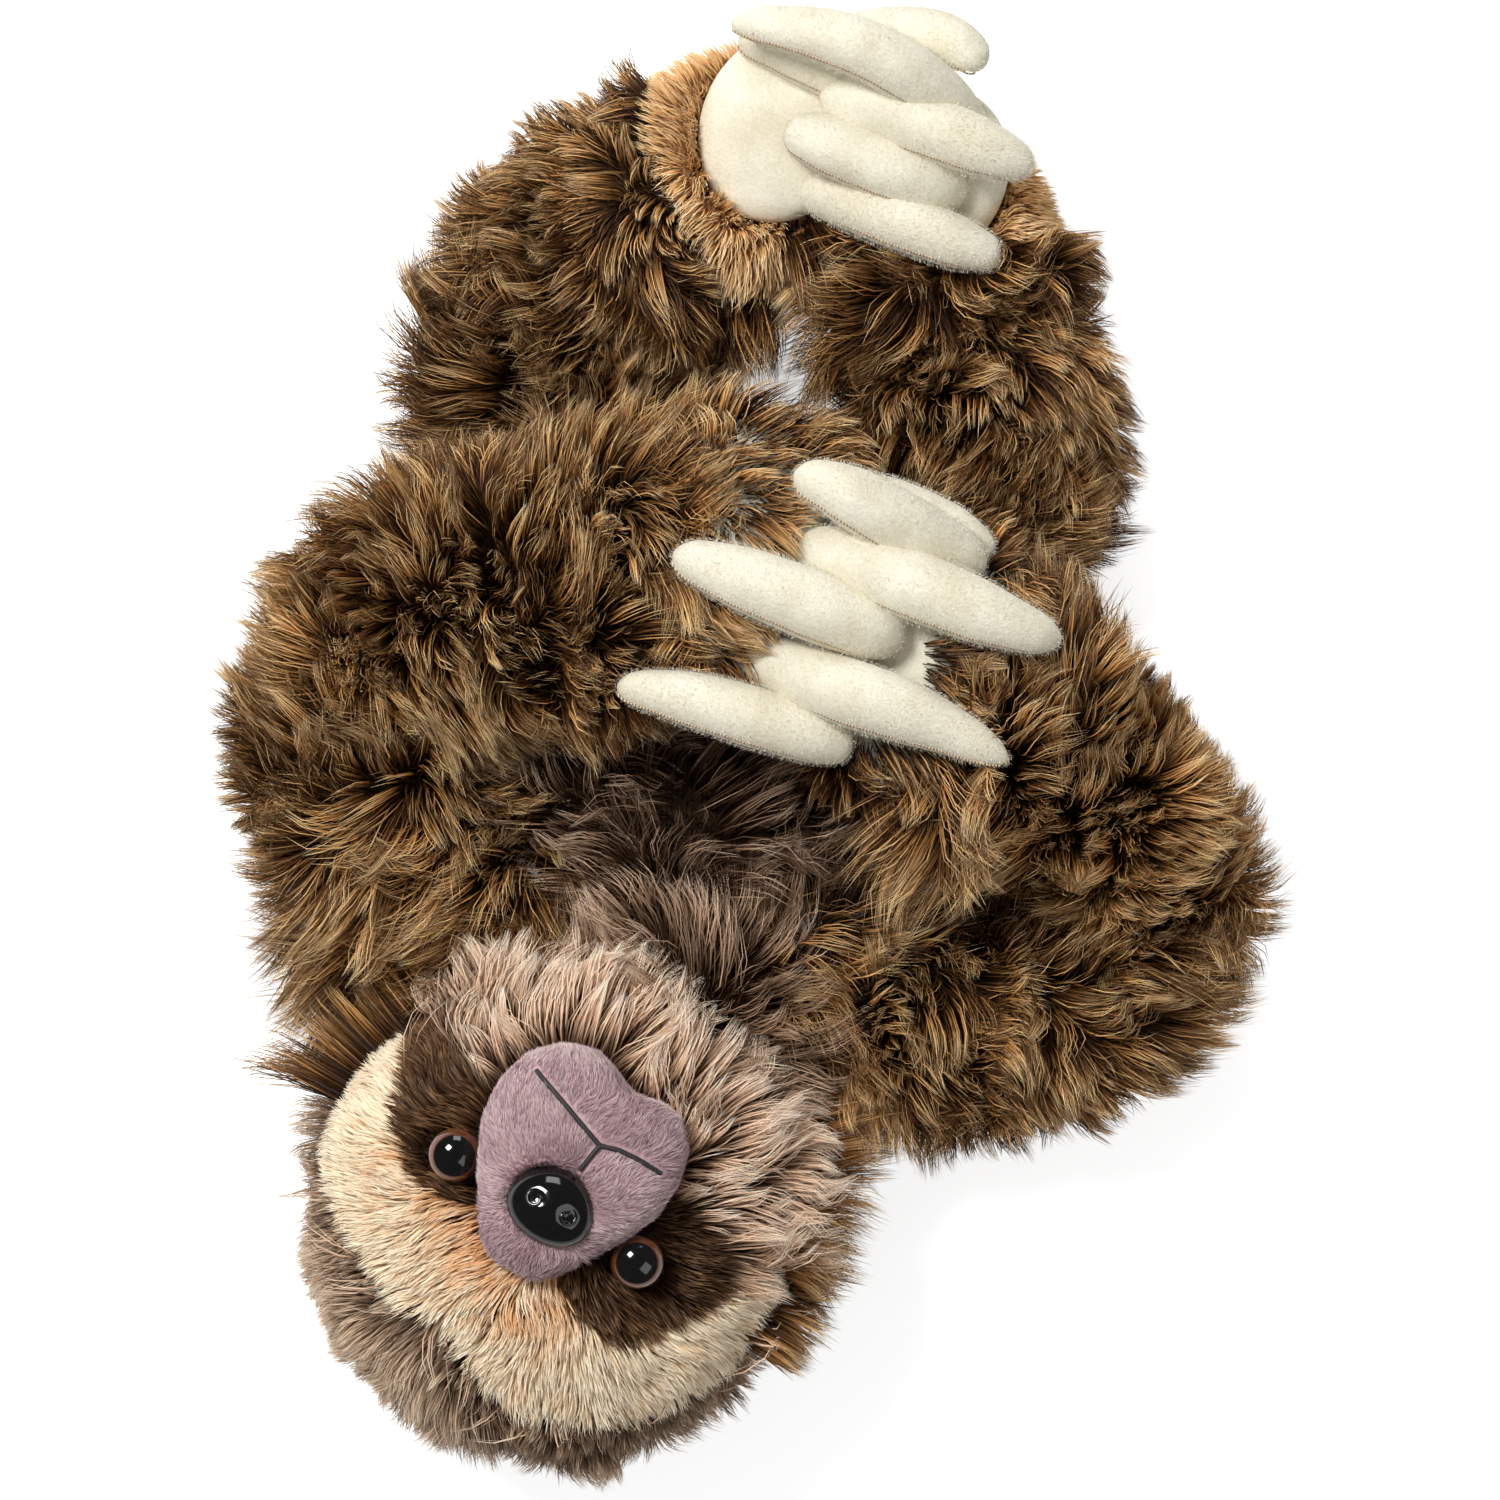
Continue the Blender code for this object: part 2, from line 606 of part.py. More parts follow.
def make_foot(side, table, heading, sole_shares, size_share):
    """The tan cuff and the velour sole let into its top."""
    stations = sized(table, clasp_place, LEG_WIDTH, LEG_DEPTH)
    cuff = soft_body(
        side + "_foot_cuff", stations, first=heading, sides=LIMB_SIDES, end_round=CUFF_ROUND,
        trim_first=GAP, colour=TAN_FUR,
    )
    centre = clasp_place(*sole_shares, SOLE_HEIGHT_SHARE)
    sizes = SOLE_LENGTH * size_share, SOLE_WIDTH * size_share, SOLE_DEPTH
    facets = dict(turn=-CLASP_LEAN, columns=SOLE_COLUMNS, rows=SOLE_ROWS)
    ball(side + "_sole", centre, *sizes, colour=VELOUR, **facets)
    seat = ball(side + "_sole_cutter", centre, *[size + 2 * GAP for size in sizes], **facets)
    carve(cuff, seat)
    cuff_cutter = soft_body(
        side + "_cuff_cutter", stations, first=heading, sides=LIMB_SIDES,
        end_round=CUFF_ROUND, grow=GAP,
    )
    return seat, cuff_cutter


def make_claw(name, table, width, seats):
    """One stuffed claw, cut where it is sewn to the palm or the sole."""
    rows = [(*row, row[3]) for row in table]
    stations = sized(rows, clasp_place, width, width)
    claw = soft_body(
        name, stations, steps=1, sides=CLAW_SIDES, end_round=width * CLAW_ROUND_SHARE,
        start_round=width * CLAW_ROUND_SHARE, colour=VELOUR,
    )
    for seat in seats:
        carve(claw, seat)


def make_arms():
    palms = {}
    make_limb(
        "left_upper_arm", LEFT_UPPER_ARM_SHARES, ARM_WIDTH, ARM_DEPTH, -ACROSS, ALONG,
        into_torso=True, trims=(0, GAP / 2),
    )
    make_limb(
        "right_upper_arm", RIGHT_UPPER_ARM_SHARES, ARM_WIDTH, ARM_DEPTH, None, ALONG,
        into_torso=True, trims=(0, GAP / 2),
    )
    left_wrist = clasp_place(*LEFT_WRIST_SHARES, 0).normalized()
    right_wrist = clasp_place(*RIGHT_WRIST_SHARES, 0).normalized()
    make_limb(
        "left_forearm", LEFT_FOREARM_SHARES, ARM_WIDTH, ARM_DEPTH, ALONG, left_wrist,
        trims=(GAP / 2, 0),
    )
    make_limb(
        "right_forearm", RIGHT_FOREARM_SHARES, ARM_WIDTH, ARM_DEPTH, ALONG, right_wrist,
        trims=(GAP / 2, 0),
    )
    palms["left"] = make_palm("left_palm", LEFT_PALM_SHARES, ACROSS, left_wrist)
    palms["right"] = make_palm("right_palm", RIGHT_PALM_SHARES, -ACROSS, right_wrist)
    for name, table in CLAW_SHARES.items():
        side, end = name.split("_")[:2]
        if end == "hand":
            make_claw(name, table, HAND_CLAW_WIDTH, [palms[side]])


def make_legs():
    make_limb(
        "left_thigh", LEFT_THIGH_SHARES, LEG_WIDTH, LEG_DEPTH, None, ALONG,
        into_torso=True, trims=(0, GAP / 2),
    )
    make_limb(
        "right_thigh", RIGHT_THIGH_SHARES, LEG_WIDTH, LEG_DEPTH, None, ALONG,
        into_torso=True, trims=(0, GAP / 2),
    )
    left_ankle = clasp_place(*LEFT_ANKLE_SHARES, 0).normalized()
    right_ankle = clasp_place(*RIGHT_ANKLE_SHARES, 0).normalized()
    make_limb(
        "left_shin", LEFT_SHIN_SHARES, LEG_WIDTH, LEG_DEPTH, ALONG, left_ankle,
        trims=(GAP / 2, 0),
    )
    make_limb(
        "right_shin", RIGHT_SHIN_SHARES, LEG_WIDTH, LEG_DEPTH, ALONG, right_ankle,
        trims=(GAP / 2, 0),
    )
    seats = {
        "left": make_foot("left", LEFT_CUFF_SHARES, left_ankle, LEFT_SOLE_SHARES, 1),
        "right": make_foot(
            "right", RIGHT_CUFF_SHARES, right_ankle, RIGHT_SOLE_SHARES, RIGHT_SOLE_SIZE_SHARE
        ),
    }
    for name, table in CLAW_SHARES.items():
        side, end = name.split("_")[:2]
        if end == "foot":
            make_claw(name, table, FOOT_CLAW_WIDTH, seats[side])


def make_head(neck_seat):
    finish = dict(first=CROWN, last=CROWN, end_round=CROWN_ROUND)
    shell = soft_body(
        "head_fur", HEAD_STATIONS, wall=HEAD_WALL, open_last=False, colour=TAUPE_FUR, **finish
    )
    filling_finish = dict(finish, end_round=CROWN_ROUND - HEAD_WALL - GAP)
    filling = soft_body(
        "head_stuffing", shift_stations(HEAD_STATIONS, HEAD_WALL + GAP), colour=FILLING,
        **filling_finish,
    )
    carve(shell, neck_seat)
    carve(filling, neck_seat)
    return shell, filling


def make_panel(name, outline, cutters, colour):
    """A patch of pile fabric that lies on the front of the head."""
    panel = soft_body(
        name, HEAD_STATIONS, first=CROWN, last=CROWN, end_round=CROWN_ROUND,
        grow=PATCH_THICKNESS, colour=colour,
    )
    top = HEAD_CENTRE.z + HEAD_DEPTH
    carve(panel, slab(name + "_outline", outline, HEAD_CENTRE.z, top), "INTERSECT")
    for cutter in cutters:
        carve(panel, cutter)
    return panel


def make_muzzle(name, grow, **finish):
    """The domed pad, whose skirt runs down past the head's front."""
    outline = mirrored(MUZZLE_SHARES[1:-1])
    outline = [MUZZLE_SHARES[0]] + outline[:len(MUZZLE_SHARES) - 2] + [MUZZLE_SHARES[-1]] + (
        outline[len(MUZZLE_SHARES) - 2:]
    )
    front = HEAD_CENTRE.z + HEAD_DEPTH / 2
    middle = face_place(0, MUZZLE_PLACE_SHARE)
    levels = [(1, -MUZZLE_SKIRT)] + [(size, rise * MUZZLE_RISE) for size, rise in DOME_SHARES]
    rings = []
    for size, rise in levels:
        ring = []
        for side_share, crown_share in outline:
            reach = SIDE * side_share * MUZZLE_WIDTH + CROWN * crown_share * MUZZLE_LENGTH
            place = middle + reach * size + reach.normalized() * grow
            ring.append(Vector((place.x, place.y, front + rise + grow)))
        rings.append(ring)
    shape = bmesh.new()
    laid = skin(shape, rings)
    shape.faces.new(laid[0])
    shape.faces.new(laid[-1])
    return show(name, shape, **finish)


def make_fitting(name, centre, sizes, stem_diameter, pierced, colour):
    """An eye or a nose, its stem, and the washer that locks it inside the head."""
    turn = -HEAD_TILT
    facets = dict(turn=turn, columns=FITTING_COLUMNS, rows=FITTING_ROWS)
    dome = ball(name, centre, *sizes, colour=colour, roughness=0.1, **facets)
    seat = ball(name + "_cutter", centre, *[size + 2 * GAP for size in sizes], **facets)
    inner = front_height(centre, HEAD_WALL)
    edge = WASHER_DIAMETER / 2
    slope = max(
        inner - front_height(centre + SIDE * edge * sign, HEAD_WALL) for sign in (-1, 1)
    )
    fall = max(
        inner - front_height(centre + CROWN * edge * sign, HEAD_WALL) for sign in (-1, 1)
    )
    washer_top = inner - max(slope, 0) - max(fall, 0) - 2 * GAP
    washer_middle = Vector((centre.x, centre.y, washer_top - WASHER_THICKNESS / 2))
    stem_low = Vector((centre.x, centre.y, washer_top - WASHER_THICKNESS - STEM_TAIL))
    stem = rod(name + "_stem", stem_low, centre, stem_diameter / 2)
    hole = rod(name + "_hole", stem_low - UP * GAP, centre, stem_diameter / 2 + GAP)
    carve(dome, stem, "UNION")
    half = UP * WASHER_THICKNESS / 2
    washer = rod(
        name + "_washer", washer_middle - half, washer_middle + half, WASHER_DIAMETER / 2,
        sides=WASHER_SIDES, colour=CLEAR_NYLON, roughness=0.4,
    )
    bore = rod(
        name + "_bore", washer_middle - half * 2, washer_middle + half * 2,
        stem_diameter / 2 + WASHER_PLAY,
    )
    carve(washer, bore)
    pocket = rod(
        name + "_pocket", washer_middle - half - UP * GAP, Vector((centre.x, centre.y, inner)),
        edge + GAP, sides=WASHER_SIDES,
    )
    for thing in pierced:
        carve(thing, seat)
        carve(thing, hole)
    carve(head_filling, pocket)
    carve(head_filling, hole)
    return dome


def make_face():
    grown_head = dict(first=CROWN, last=CROWN, end_round=CROWN_ROUND)
    head_cutter = soft_body("head_cutter", HEAD_STATIONS, grow=GAP, **grown_head)
    muzzle_cutter = make_muzzle("muzzle_cutter", GAP)
    muzzle = make_muzzle("muzzle", 0, colour=MAUVE_PILE)
    carve(muzzle, head_cutter)
    seats = [head_cutter, muzzle_cutter]
    brow = [face_place(*shares) for shares in mirrored(BROW_SHARES[1:-1])]
    make_panel("brow_band", brow, seats, CREAM_FUR)
    for side, sign in (("left", -1), ("right", 1)):
        outline = [face_place(side_share * sign, up) for side_share, up in PATCH_SHARES]
        patch = make_panel(side + "_eye_patch", outline, seats, DARK_FUR)
        place = face_place(0, EYE_CROWN_SHARE) + SIDE * sign * EYE_SPACING / 2
        place.z = front_height(place) + PATCH_THICKNESS - EYE_SINK
        make_fitting(
            side + "_eye", place, (EYE_DIAMETER, EYE_DIAMETER, EYE_DEPTH), EYE_STEM_DIAMETER,
            [patch, head_shell], AMBER_PLASTIC,
        )
    place = face_place(0, NOSE_CROWN_SHARE)
    place.z = HEAD_CENTRE.z + HEAD_DEPTH / 2 + MUZZLE_RISE - NOSE_SINK
    make_fitting(
        "nose", place, (NOSE_WIDTH, NOSE_LENGTH, NOSE_DEPTH), NOSE_STEM_DIAMETER,
        [muzzle, head_shell], BLACK_PLASTIC,
    )


neck_seat = make_torso()
make_neck()
make_arms()
make_legs()
head_shell, head_filling = make_head(neck_seat)
make_face()
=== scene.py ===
"""Looks of a plush sloth that lies on its back and clasps its hands and its feet.

Metres, +Z up, in the frame's axes: the head is at -Y, the belly and the face are at +Z, and the
animal's left side is at -X.
"""

import math

import bpy
import numpy as np
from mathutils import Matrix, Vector
from mathutils.bvhtree import BVHTree
from mathutils.kdtree import KDTree
from numpy.random import default_rng


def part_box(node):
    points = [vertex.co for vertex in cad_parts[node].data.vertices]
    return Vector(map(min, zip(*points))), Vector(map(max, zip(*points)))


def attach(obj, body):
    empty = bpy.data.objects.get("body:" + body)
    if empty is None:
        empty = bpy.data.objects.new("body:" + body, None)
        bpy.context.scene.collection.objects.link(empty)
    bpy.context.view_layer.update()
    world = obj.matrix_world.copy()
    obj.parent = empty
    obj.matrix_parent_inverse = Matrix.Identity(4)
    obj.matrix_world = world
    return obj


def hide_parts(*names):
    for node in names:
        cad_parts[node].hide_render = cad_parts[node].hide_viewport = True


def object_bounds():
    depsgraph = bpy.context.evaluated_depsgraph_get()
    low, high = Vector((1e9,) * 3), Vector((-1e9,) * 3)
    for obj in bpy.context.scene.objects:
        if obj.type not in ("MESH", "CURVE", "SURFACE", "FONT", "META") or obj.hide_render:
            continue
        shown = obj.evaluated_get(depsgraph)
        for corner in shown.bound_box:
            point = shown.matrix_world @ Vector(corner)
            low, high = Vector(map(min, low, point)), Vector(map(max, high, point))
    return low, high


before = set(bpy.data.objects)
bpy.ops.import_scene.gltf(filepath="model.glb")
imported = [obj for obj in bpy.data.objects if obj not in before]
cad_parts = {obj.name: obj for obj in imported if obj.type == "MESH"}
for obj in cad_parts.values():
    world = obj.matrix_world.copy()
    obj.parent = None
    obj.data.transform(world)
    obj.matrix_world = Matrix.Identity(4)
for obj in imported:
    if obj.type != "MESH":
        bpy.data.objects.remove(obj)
bpy.ops.object.select_all(action="DESELECT")
cad_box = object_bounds()

# Studio
# A white table top under soft light, seen from straight above, as the photograph was taken.
MM = 0.001
CAMERA_X, CAMERA_Y = 14 * MM, -8 * MM
SHARP_HEIGHT = 60 * MM
CAMERA_DISTANCE = 1500 * MM
FRAME_WIDTH = 360 * MM
PHOTO_PIXELS = 1500
FLOOR_GLOW = 0.7
ROOM_LIGHT, ROOM_IN_GLOSS = 0.24, 0.10


def feed(tree, node, inputs):
    """Set a node's inputs, each to a value or to what another node gives out."""
    for name, value in inputs.items():
        if isinstance(value, bpy.types.NodeSocket):
            tree.links.new(value, node.inputs[name])
        else:
            node.inputs[name].default_value = value
    return node


def add_node(tree, kind, inputs):
    """A new node with its inputs."""
    return feed(tree, tree.nodes.new(kind), inputs)


def new_material(name, looks):
    """A material with some of its shader's inputs set, its node tree and its shader."""
    material = bpy.data.materials.new(name)
    material.use_nodes = True
    tree = material.node_tree
    return material, tree, feed(tree, tree.nodes["Principled BSDF"], looks)


bpy.ops.object.camera_add(location=(CAMERA_X, CAMERA_Y, SHARP_HEIGHT + CAMERA_DISTANCE))
camera = bpy.context.object
camera.rotation_euler = (0, 0, 0)
camera.data.sensor_fit = "HORIZONTAL"
camera.data.angle = 2 * math.atan(FRAME_WIDTH / 2 / CAMERA_DISTANCE)
camera.data.clip_start = 0.05
bpy.context.scene.camera = camera
bpy.context.scene.view_settings.view_transform = "Standard"

bpy.ops.mesh.primitive_plane_add(size=6)
floor = bpy.context.object
floor.name = "table_top"
paper, tree, shader = new_material("white_table", {
    "Base Color": (0.9, 0.9, 0.9, 1), "Roughness": 1, "Specular IOR Level": 0,
    "Emission Color": (1, 1, 1, 1),
})
seen = tree.nodes.new("ShaderNodeLightPath")
lift = tree.nodes.new("ShaderNodeMath")
lift.operation = "MULTIPLY"
feed(tree, lift, {0: seen.outputs["Is Camera Ray"], 1: FLOOR_GLOW})
feed(tree, shader, {"Emission Strength": lift.outputs[0]})
floor.data.materials.append(paper)

# White behind the toy, a soft level for the light, and a dim room in what shines.
world = bpy.data.worlds.new("soft_room")
world.use_nodes = True
bpy.context.scene.world = world
tree = world.node_tree
seen = tree.nodes.new("ShaderNodeLightPath")
room = add_node(tree, "ShaderNodeMapRange", {
    "Value": seen.outputs["Is Glossy Ray"], "To Min": ROOM_LIGHT, "To Max": ROOM_IN_GLOSS,
})
level = add_node(tree, "ShaderNodeMix", {
    "Factor": seen.outputs["Is Camera Ray"], "A": room.outputs[0], "B": 1,
})
feed(tree, tree.nodes["Background"], {
    "Strength": level.outputs["Result"], "Color": (1, 1, 1, 1),
})

# Lamps: place, size and power, each aimed at the middle of the toy.
for lamp_name, place, size, power in (
    ("key_light", (-0.6, 0.55, 1.35), 0.4, 21),
    ("fill_light", (0.7, -0.6, 1.2), 0.8, 3),
    ("rim_light", (0.1, 1.3, 0.7), 0.6, 4),
):
    bpy.ops.object.light_add(type="AREA", location=place)
    lamp = bpy.context.object
    lamp.name = lamp_name
    lamp.data.size = size
    lamp.data.energy = power
    lamp.rotation_euler = (-Vector(place)).to_track_quat("-Z", "Y").to_euler()

# Hands
# Cream velour palms that close the sleeves, each with three long stuffed claws of the same cloth,
# cut from a brushed fabric, sewn with tan thread and filled firmly.
SIDES = ("left", "right")
FLOOR_CLEARANCE = 0.4 * MM
# The clasped claws run this way, and the hinges of the limbs lie square to them.
CLASP_LEAN = math.radians(22)
ACROSS = Vector((math.cos(CLASP_LEAN), -math.sin(CLASP_LEAN), 0))
ALONG = Vector((math.sin(CLASP_LEAN), math.cos(CLASP_LEAN), 0))
DOWN = Vector((0, 0, -1))
PLUMB_START = Vector((0, 0, 20 * MM))
MERGE_DISTANCE = 0.01 * MM
CLOTH_PRESSURE, CLOTH_FRAMES = 4, 20
WAVES, WAVES_REACH = 7, 2.4


def pixel_size(height):
    """How much of the toy one pixel of the photograph covers at a height."""
    return FRAME_WIDTH / PHOTO_PIXELS * (1 - (height - SHARP_HEIGHT) / CAMERA_DISTANCE)


def pixels(places):
    """Where the photograph shows each place."""
    scale = pixel_size(places[:, 2])
    across = (places[:, 0] - CAMERA_X) / scale + PHOTO_PIXELS / 2
    down = PHOTO_PIXELS / 2 - (places[:, 1] - CAMERA_Y) / scale
    return np.stack((across, down), axis=1)


def placed(pixel, height):
    """The place at a height that the photograph shows at a pixel."""
    scale = pixel_size(height)
    x = (pixel[0] - PHOTO_PIXELS / 2) * scale + CAMERA_X
    y = (PHOTO_PIXELS / 2 - pixel[1]) * scale + CAMERA_Y
    return Vector((x, y, height))


def vectors(items, attribute="co"):
    """One vector of each item of a mesh, as rows."""
    values = np.empty(len(items) * 3, np.float32)
    items.foreach_get(attribute, values)
    return values.reshape(-1, 3).astype(float)


def only(piece):
    """Make a piece the one that is selected and active."""
    bpy.ops.object.select_all(action="DESELECT")
    piece.select_set(True)
    bpy.context.view_layer.objects.active = piece


def add_to_scene(name, mesh):
    """A new object that shows a mesh."""
    piece = bpy.data.objects.new(name, mesh)
    bpy.context.scene.collection.objects.link(piece)
    return piece


def ball(name, segments, rings, radius):
    """A sphere round the origin, to be shaped."""
    bpy.ops.object.select_all(action="DESELECT")
    bpy.ops.mesh.primitive_uv_sphere_add(segments=segments, ring_count=rings, radius=radius)
    piece = bpy.context.object
    piece.name = name
    return piece


def form_of(piece):
    """A piece's surface, for measuring how near a place is to it."""
    return BVHTree.FromObject(piece, bpy.context.evaluated_depsgraph_get())


def dropped(form, place):
    """Where a plumb line through a place meets a form from above, or else the place."""
    hit = form.ray_cast(place + PLUMB_START, DOWN)[0]
    return place if hit is None else hit


def refine(piece, voxel, passes, swell=0.0):
    """Remesh a closed form evenly, smooth it and swell or shrink it."""
    only(piece)
    remesh = piece.modifiers.new("remesh", "REMESH")
    remesh.mode = "VOXEL"
    remesh.voxel_size = voxel
    bpy.ops.object.modifier_apply(modifier=remesh.name)
    smooth = piece.modifiers.new("smooth", "SMOOTH")
    smooth.iterations = passes
    bpy.ops.object.modifier_apply(modifier=smooth.name)
    if swell:
        grow = piece.modifiers.new("grow", "DISPLACE")
        grow.strength = swell
        grow.mid_level = 0
        bpy.ops.object.modifier_apply(modifier=grow.name)
    piece.data.shade_smooth()


def soft_copy(node, name, voxel, swell, passes=6):
    """A closed soft form made from a CAD node: merged, remeshed, smoothed and swollen."""
    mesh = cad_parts[node].data.copy()
    piece = add_to_scene(name, mesh)
    mesh.materials.clear()
    only(piece)
    bpy.ops.object.mode_set(mode="EDIT")
    bpy.ops.mesh.select_all(action="SELECT")
    bpy.ops.mesh.remove_doubles(threshold=MERGE_DISTANCE)
    bpy.ops.object.mode_set(mode="OBJECT")
    refine(piece, voxel, passes, swell)
    return piece


def puff(piece, most):
    """Fill a sewn cover: cloth under pressure, no point of which moves further than allowed."""
    scene = bpy.context.scene
    cloth = piece.modifiers.new("cloth", "CLOTH")
    cloth.settings.use_pressure = True
    cloth.settings.uniform_pressure_force = CLOTH_PRESSURE
    cloth.settings.effector_weights.gravity = 0
    cloth.point_cache.frame_end = CLOTH_FRAMES
    before = [vertex.co.copy() for vertex in piece.data.vertices]
    for step in range(1, CLOTH_FRAMES + 1):
        scene.frame_set(step)
    filled = piece.evaluated_get(bpy.context.evaluated_depsgraph_get())
    after = [vertex.co.copy() for vertex in filled.data.vertices]
    piece.modifiers.remove(cloth)
    scene.frame_set(1)
    for vertex, start, end in zip(piece.data.vertices, before, after):
        move = end - start
        if move.length > most:
            move *= most / move.length
        vertex.co = start + move
    smooth = piece.modifiers.new("smooth", "SMOOTH")
    smooth.iterations = 3
    only(piece)
    bpy.ops.object.modifier_apply(modifier=smooth.name)


def tube(name, points, radii, sides=16):
    """A round cord or finger through some points, with a radius at each."""
    bpy.ops.curve.primitive_nurbs_path_add()
    cord = bpy.context.object
    cord.name = name
    cord.data.splines.clear()
    spline = cord.data.splines.new("POLY")
    spline.points.add(len(points) - 1)
    for point, place, radius in zip(spline.points, points, radii):
        point.co = (*place, 1)
        point.radius = radius / MM
    cord.data.bevel_depth = MM
    cord.data.bevel_resolution = sides // 2 - 2
    cord.data.twist_mode = "Z_UP"
    cord.data.use_fill_caps = True
    only(cord)
    bpy.ops.object.convert(target="MESH")
    cord = bpy.context.object
    cord.data.shade_smooth()
    return cord


def ramp(tree, source, stops):
    """Colours between stops, picked by a value."""
    node = add_node(tree, "ShaderNodeValToRGB", {"Fac": source})
    elements = node.color_ramp.elements
    while len(elements) < len(stops):
        elements.new(0.5)
    for element, (place, colour) in zip(elements, stops):
        element.position = place
        element.color = (*colour, 1)
    return node.outputs["Color"]


def shaded(tree, shader, source, stops, bump_source=None, strength=0.0, depth=0.3 * MM):
    """Colour a material by a ramp over one texture and raise its surface by another."""
    feed(tree, shader, {"Base Color": ramp(tree, source, stops)})
    if bump_source is not None:
        bump = add_node(tree, "ShaderNodeBump", {
            "Strength": strength, "Distance": depth, "Height": bump_source,
        })
        feed(tree, shader, {"Normal": bump.outputs["Normal"]})


def texture(tree, kind, settings):
    """The value of one procedural texture over the object's coordinates."""
    place = tree.nodes.new("ShaderNodeTexCoord").outputs["Object"]
    return add_node(tree, kind, {**settings, "Vector": place}).outputs["Fac"]


def textured(name, looks, kind, settings, stops, strength=0.0, depth=0.3 * MM):
    """A material whose colour follows one texture, and its relief too if it has a strength."""
    material, tree, shader = new_material(name, looks)
    value = texture(tree, kind, settings)
    shaded(tree, shader, value, stops, value if strength else None, strength, depth)
    return material


def velour_material(name, shade, deep, nap_scale, sheen):
    """Brushed fabric: mottled nap, a soft sheen and a fine grain."""
    material, tree, shader = new_material(name, {
        "Roughness": 0.9, "Specular IOR Level": 0.2, "Sheen Weight": sheen,
        "Sheen Roughness": 0.5,
    })
    mottle = texture(tree, "ShaderNodeTexNoise", {"Scale": 90, "Detail": 5})
    nap = texture(tree, "ShaderNodeTexNoise", {"Scale": nap_scale, "Detail": 3})
    mixed = add_node(tree, "ShaderNodeMix", {"Factor": 0.45, "A": mottle, "B": nap})
    stops = ((0.36, deep), (0.62, shade))
    shaded(tree, shader, mixed.outputs["Result"], stops, nap, 0.5, 0.4 * MM)
    return material


def pile_material(name, dark, light):
    """Hair colours from root to tip: dark and light sets of stops, mixed by each hair's tone."""
    material, tree, shader = new_material(name, {"Roughness": 0.5, "Specular IOR Level": 0.18})
    strand = tree.nodes.new("ShaderNodeUVMap")
    strand.uv_map = "OFBake"
    split = add_node(tree, "ShaderNodeSeparateXYZ", {"Vector": strand.outputs["UV"]}).outputs
    mix = tree.nodes.new("ShaderNodeMix")
    mix.data_type = "RGBA"
    feed(tree, mix, {
        "Factor": split["X"], "A": ramp(tree, split["Y"], dark),
        "B": ramp(tree, split["Y"], light),
    })
    feed(tree, shader, {"Base Color": mix.outputs["Result"]})
    return material


def nearness(spots, middle, reach):
    """1 at a middle, fading out over the reach."""
    return np.exp(-((spots - middle) ** 2).sum(axis=1) / reach ** 2)


def gap_to(places, start, end):
    """How far each place is from the line between two points."""
    run = end - start
    share = np.clip((places - start) @ run / (run @ run), 0, 1)
    return np.linalg.norm(places - start - share[:, None] * run, axis=1)


def unit(rows):
    """The same directions at length one."""
    return rows / np.maximum(np.linalg.norm(rows, axis=-1, keepdims=True), 1e-9)


def wander(places, size, seed):
    """A smooth random value, about -1 to 1, that swells and sinks over the given size."""
    rng = default_rng(seed)
    waves = unit(rng.normal(size=(WAVES, 3))) * (2 * math.pi / size)
    waves *= rng.uniform(0.6, 1.5, size=(WAVES, 1))
    phases = rng.uniform(0, 2 * math.pi, WAVES)
    return np.sin(places @ waves.T + phases).sum(axis=1) / WAVES_REACH


def scatter(skin, count, rng, keep=None):
    """Random places on a skin, even by area, with the smooth normal at each."""
    mesh = skin.data
    mesh.calc_loop_triangles()
    corners = np.empty(len(mesh.loop_triangles) * 3, np.int32)
    mesh.loop_triangles.foreach_get("vertices", corners)
    corners = corners.reshape(-1, 3)
    triangles = vectors(mesh.vertices)[corners]
    leaning = vectors(mesh.vertex_normals, "vector")[corners]
    flat = np.cross(triangles[:, 1] - triangles[:, 0], triangles[:, 2] - triangles[:, 0])
    area = np.linalg.norm(flat, axis=1)
    if keep is not None:
        facing = flat / np.maximum(area, 1e-12)[:, None]
        area = area * keep(triangles.mean(axis=1), facing)
    chosen = rng.choice(len(area), count, p=area / area.sum())
    first, second = rng.random(count), rng.random(count)
    folded = first + second > 1
    first[folded], second[folded] = 1 - first[folded], 1 - second[folded]
    shares = np.stack((1 - first - second, first, second), axis=1)[:, :, None]
    normal = (leaning[chosen] * shares).sum(axis=1)
    return (triangles[chosen] * shares).sum(axis=1), unit(normal)


def nearest_of(places, leaders):
    """For each place, which of the leading hairs stands nearest."""
    tree = KDTree(len(leaders))
    for index, leader in enumerate(leaders):
        tree.insert(places[leader], index)
    tree.balance()
    return leaders[[tree.find(place)[1] for place in places]]


# What hair can't pass: each firm piece's surface and its box.
firm_pieces = []
# How far hair may stand out from the solids' box, sideways.
PILE_REACH = 16.5 * MM
# Hair ends this close to a firm piece, and a hair cut to less than this share is left out.
HAIR_CLEARANCE = 0.2 * MM
SHORTEST_SHARE = 0.4
# How much of a step a cut hair stops short of the point that lies inside.
STOP_SHORT = 0.6
# How hairs vary: how far they stray from the comb, how steeply they rise, how long they get as a
# share of their coat's length, and the steepest lean in radians.
COMB_SPREAD, RISE_SPREAD, LONGEST_SHARE, STEEPEST = 0.02, (0.8, 1.2), 1.08, 1.5
# How locks hold them: the loosest as a share of the coat's grip, and how late they gather.
LOOSEST_SHARE, GATHERING = 0.35, 1.3
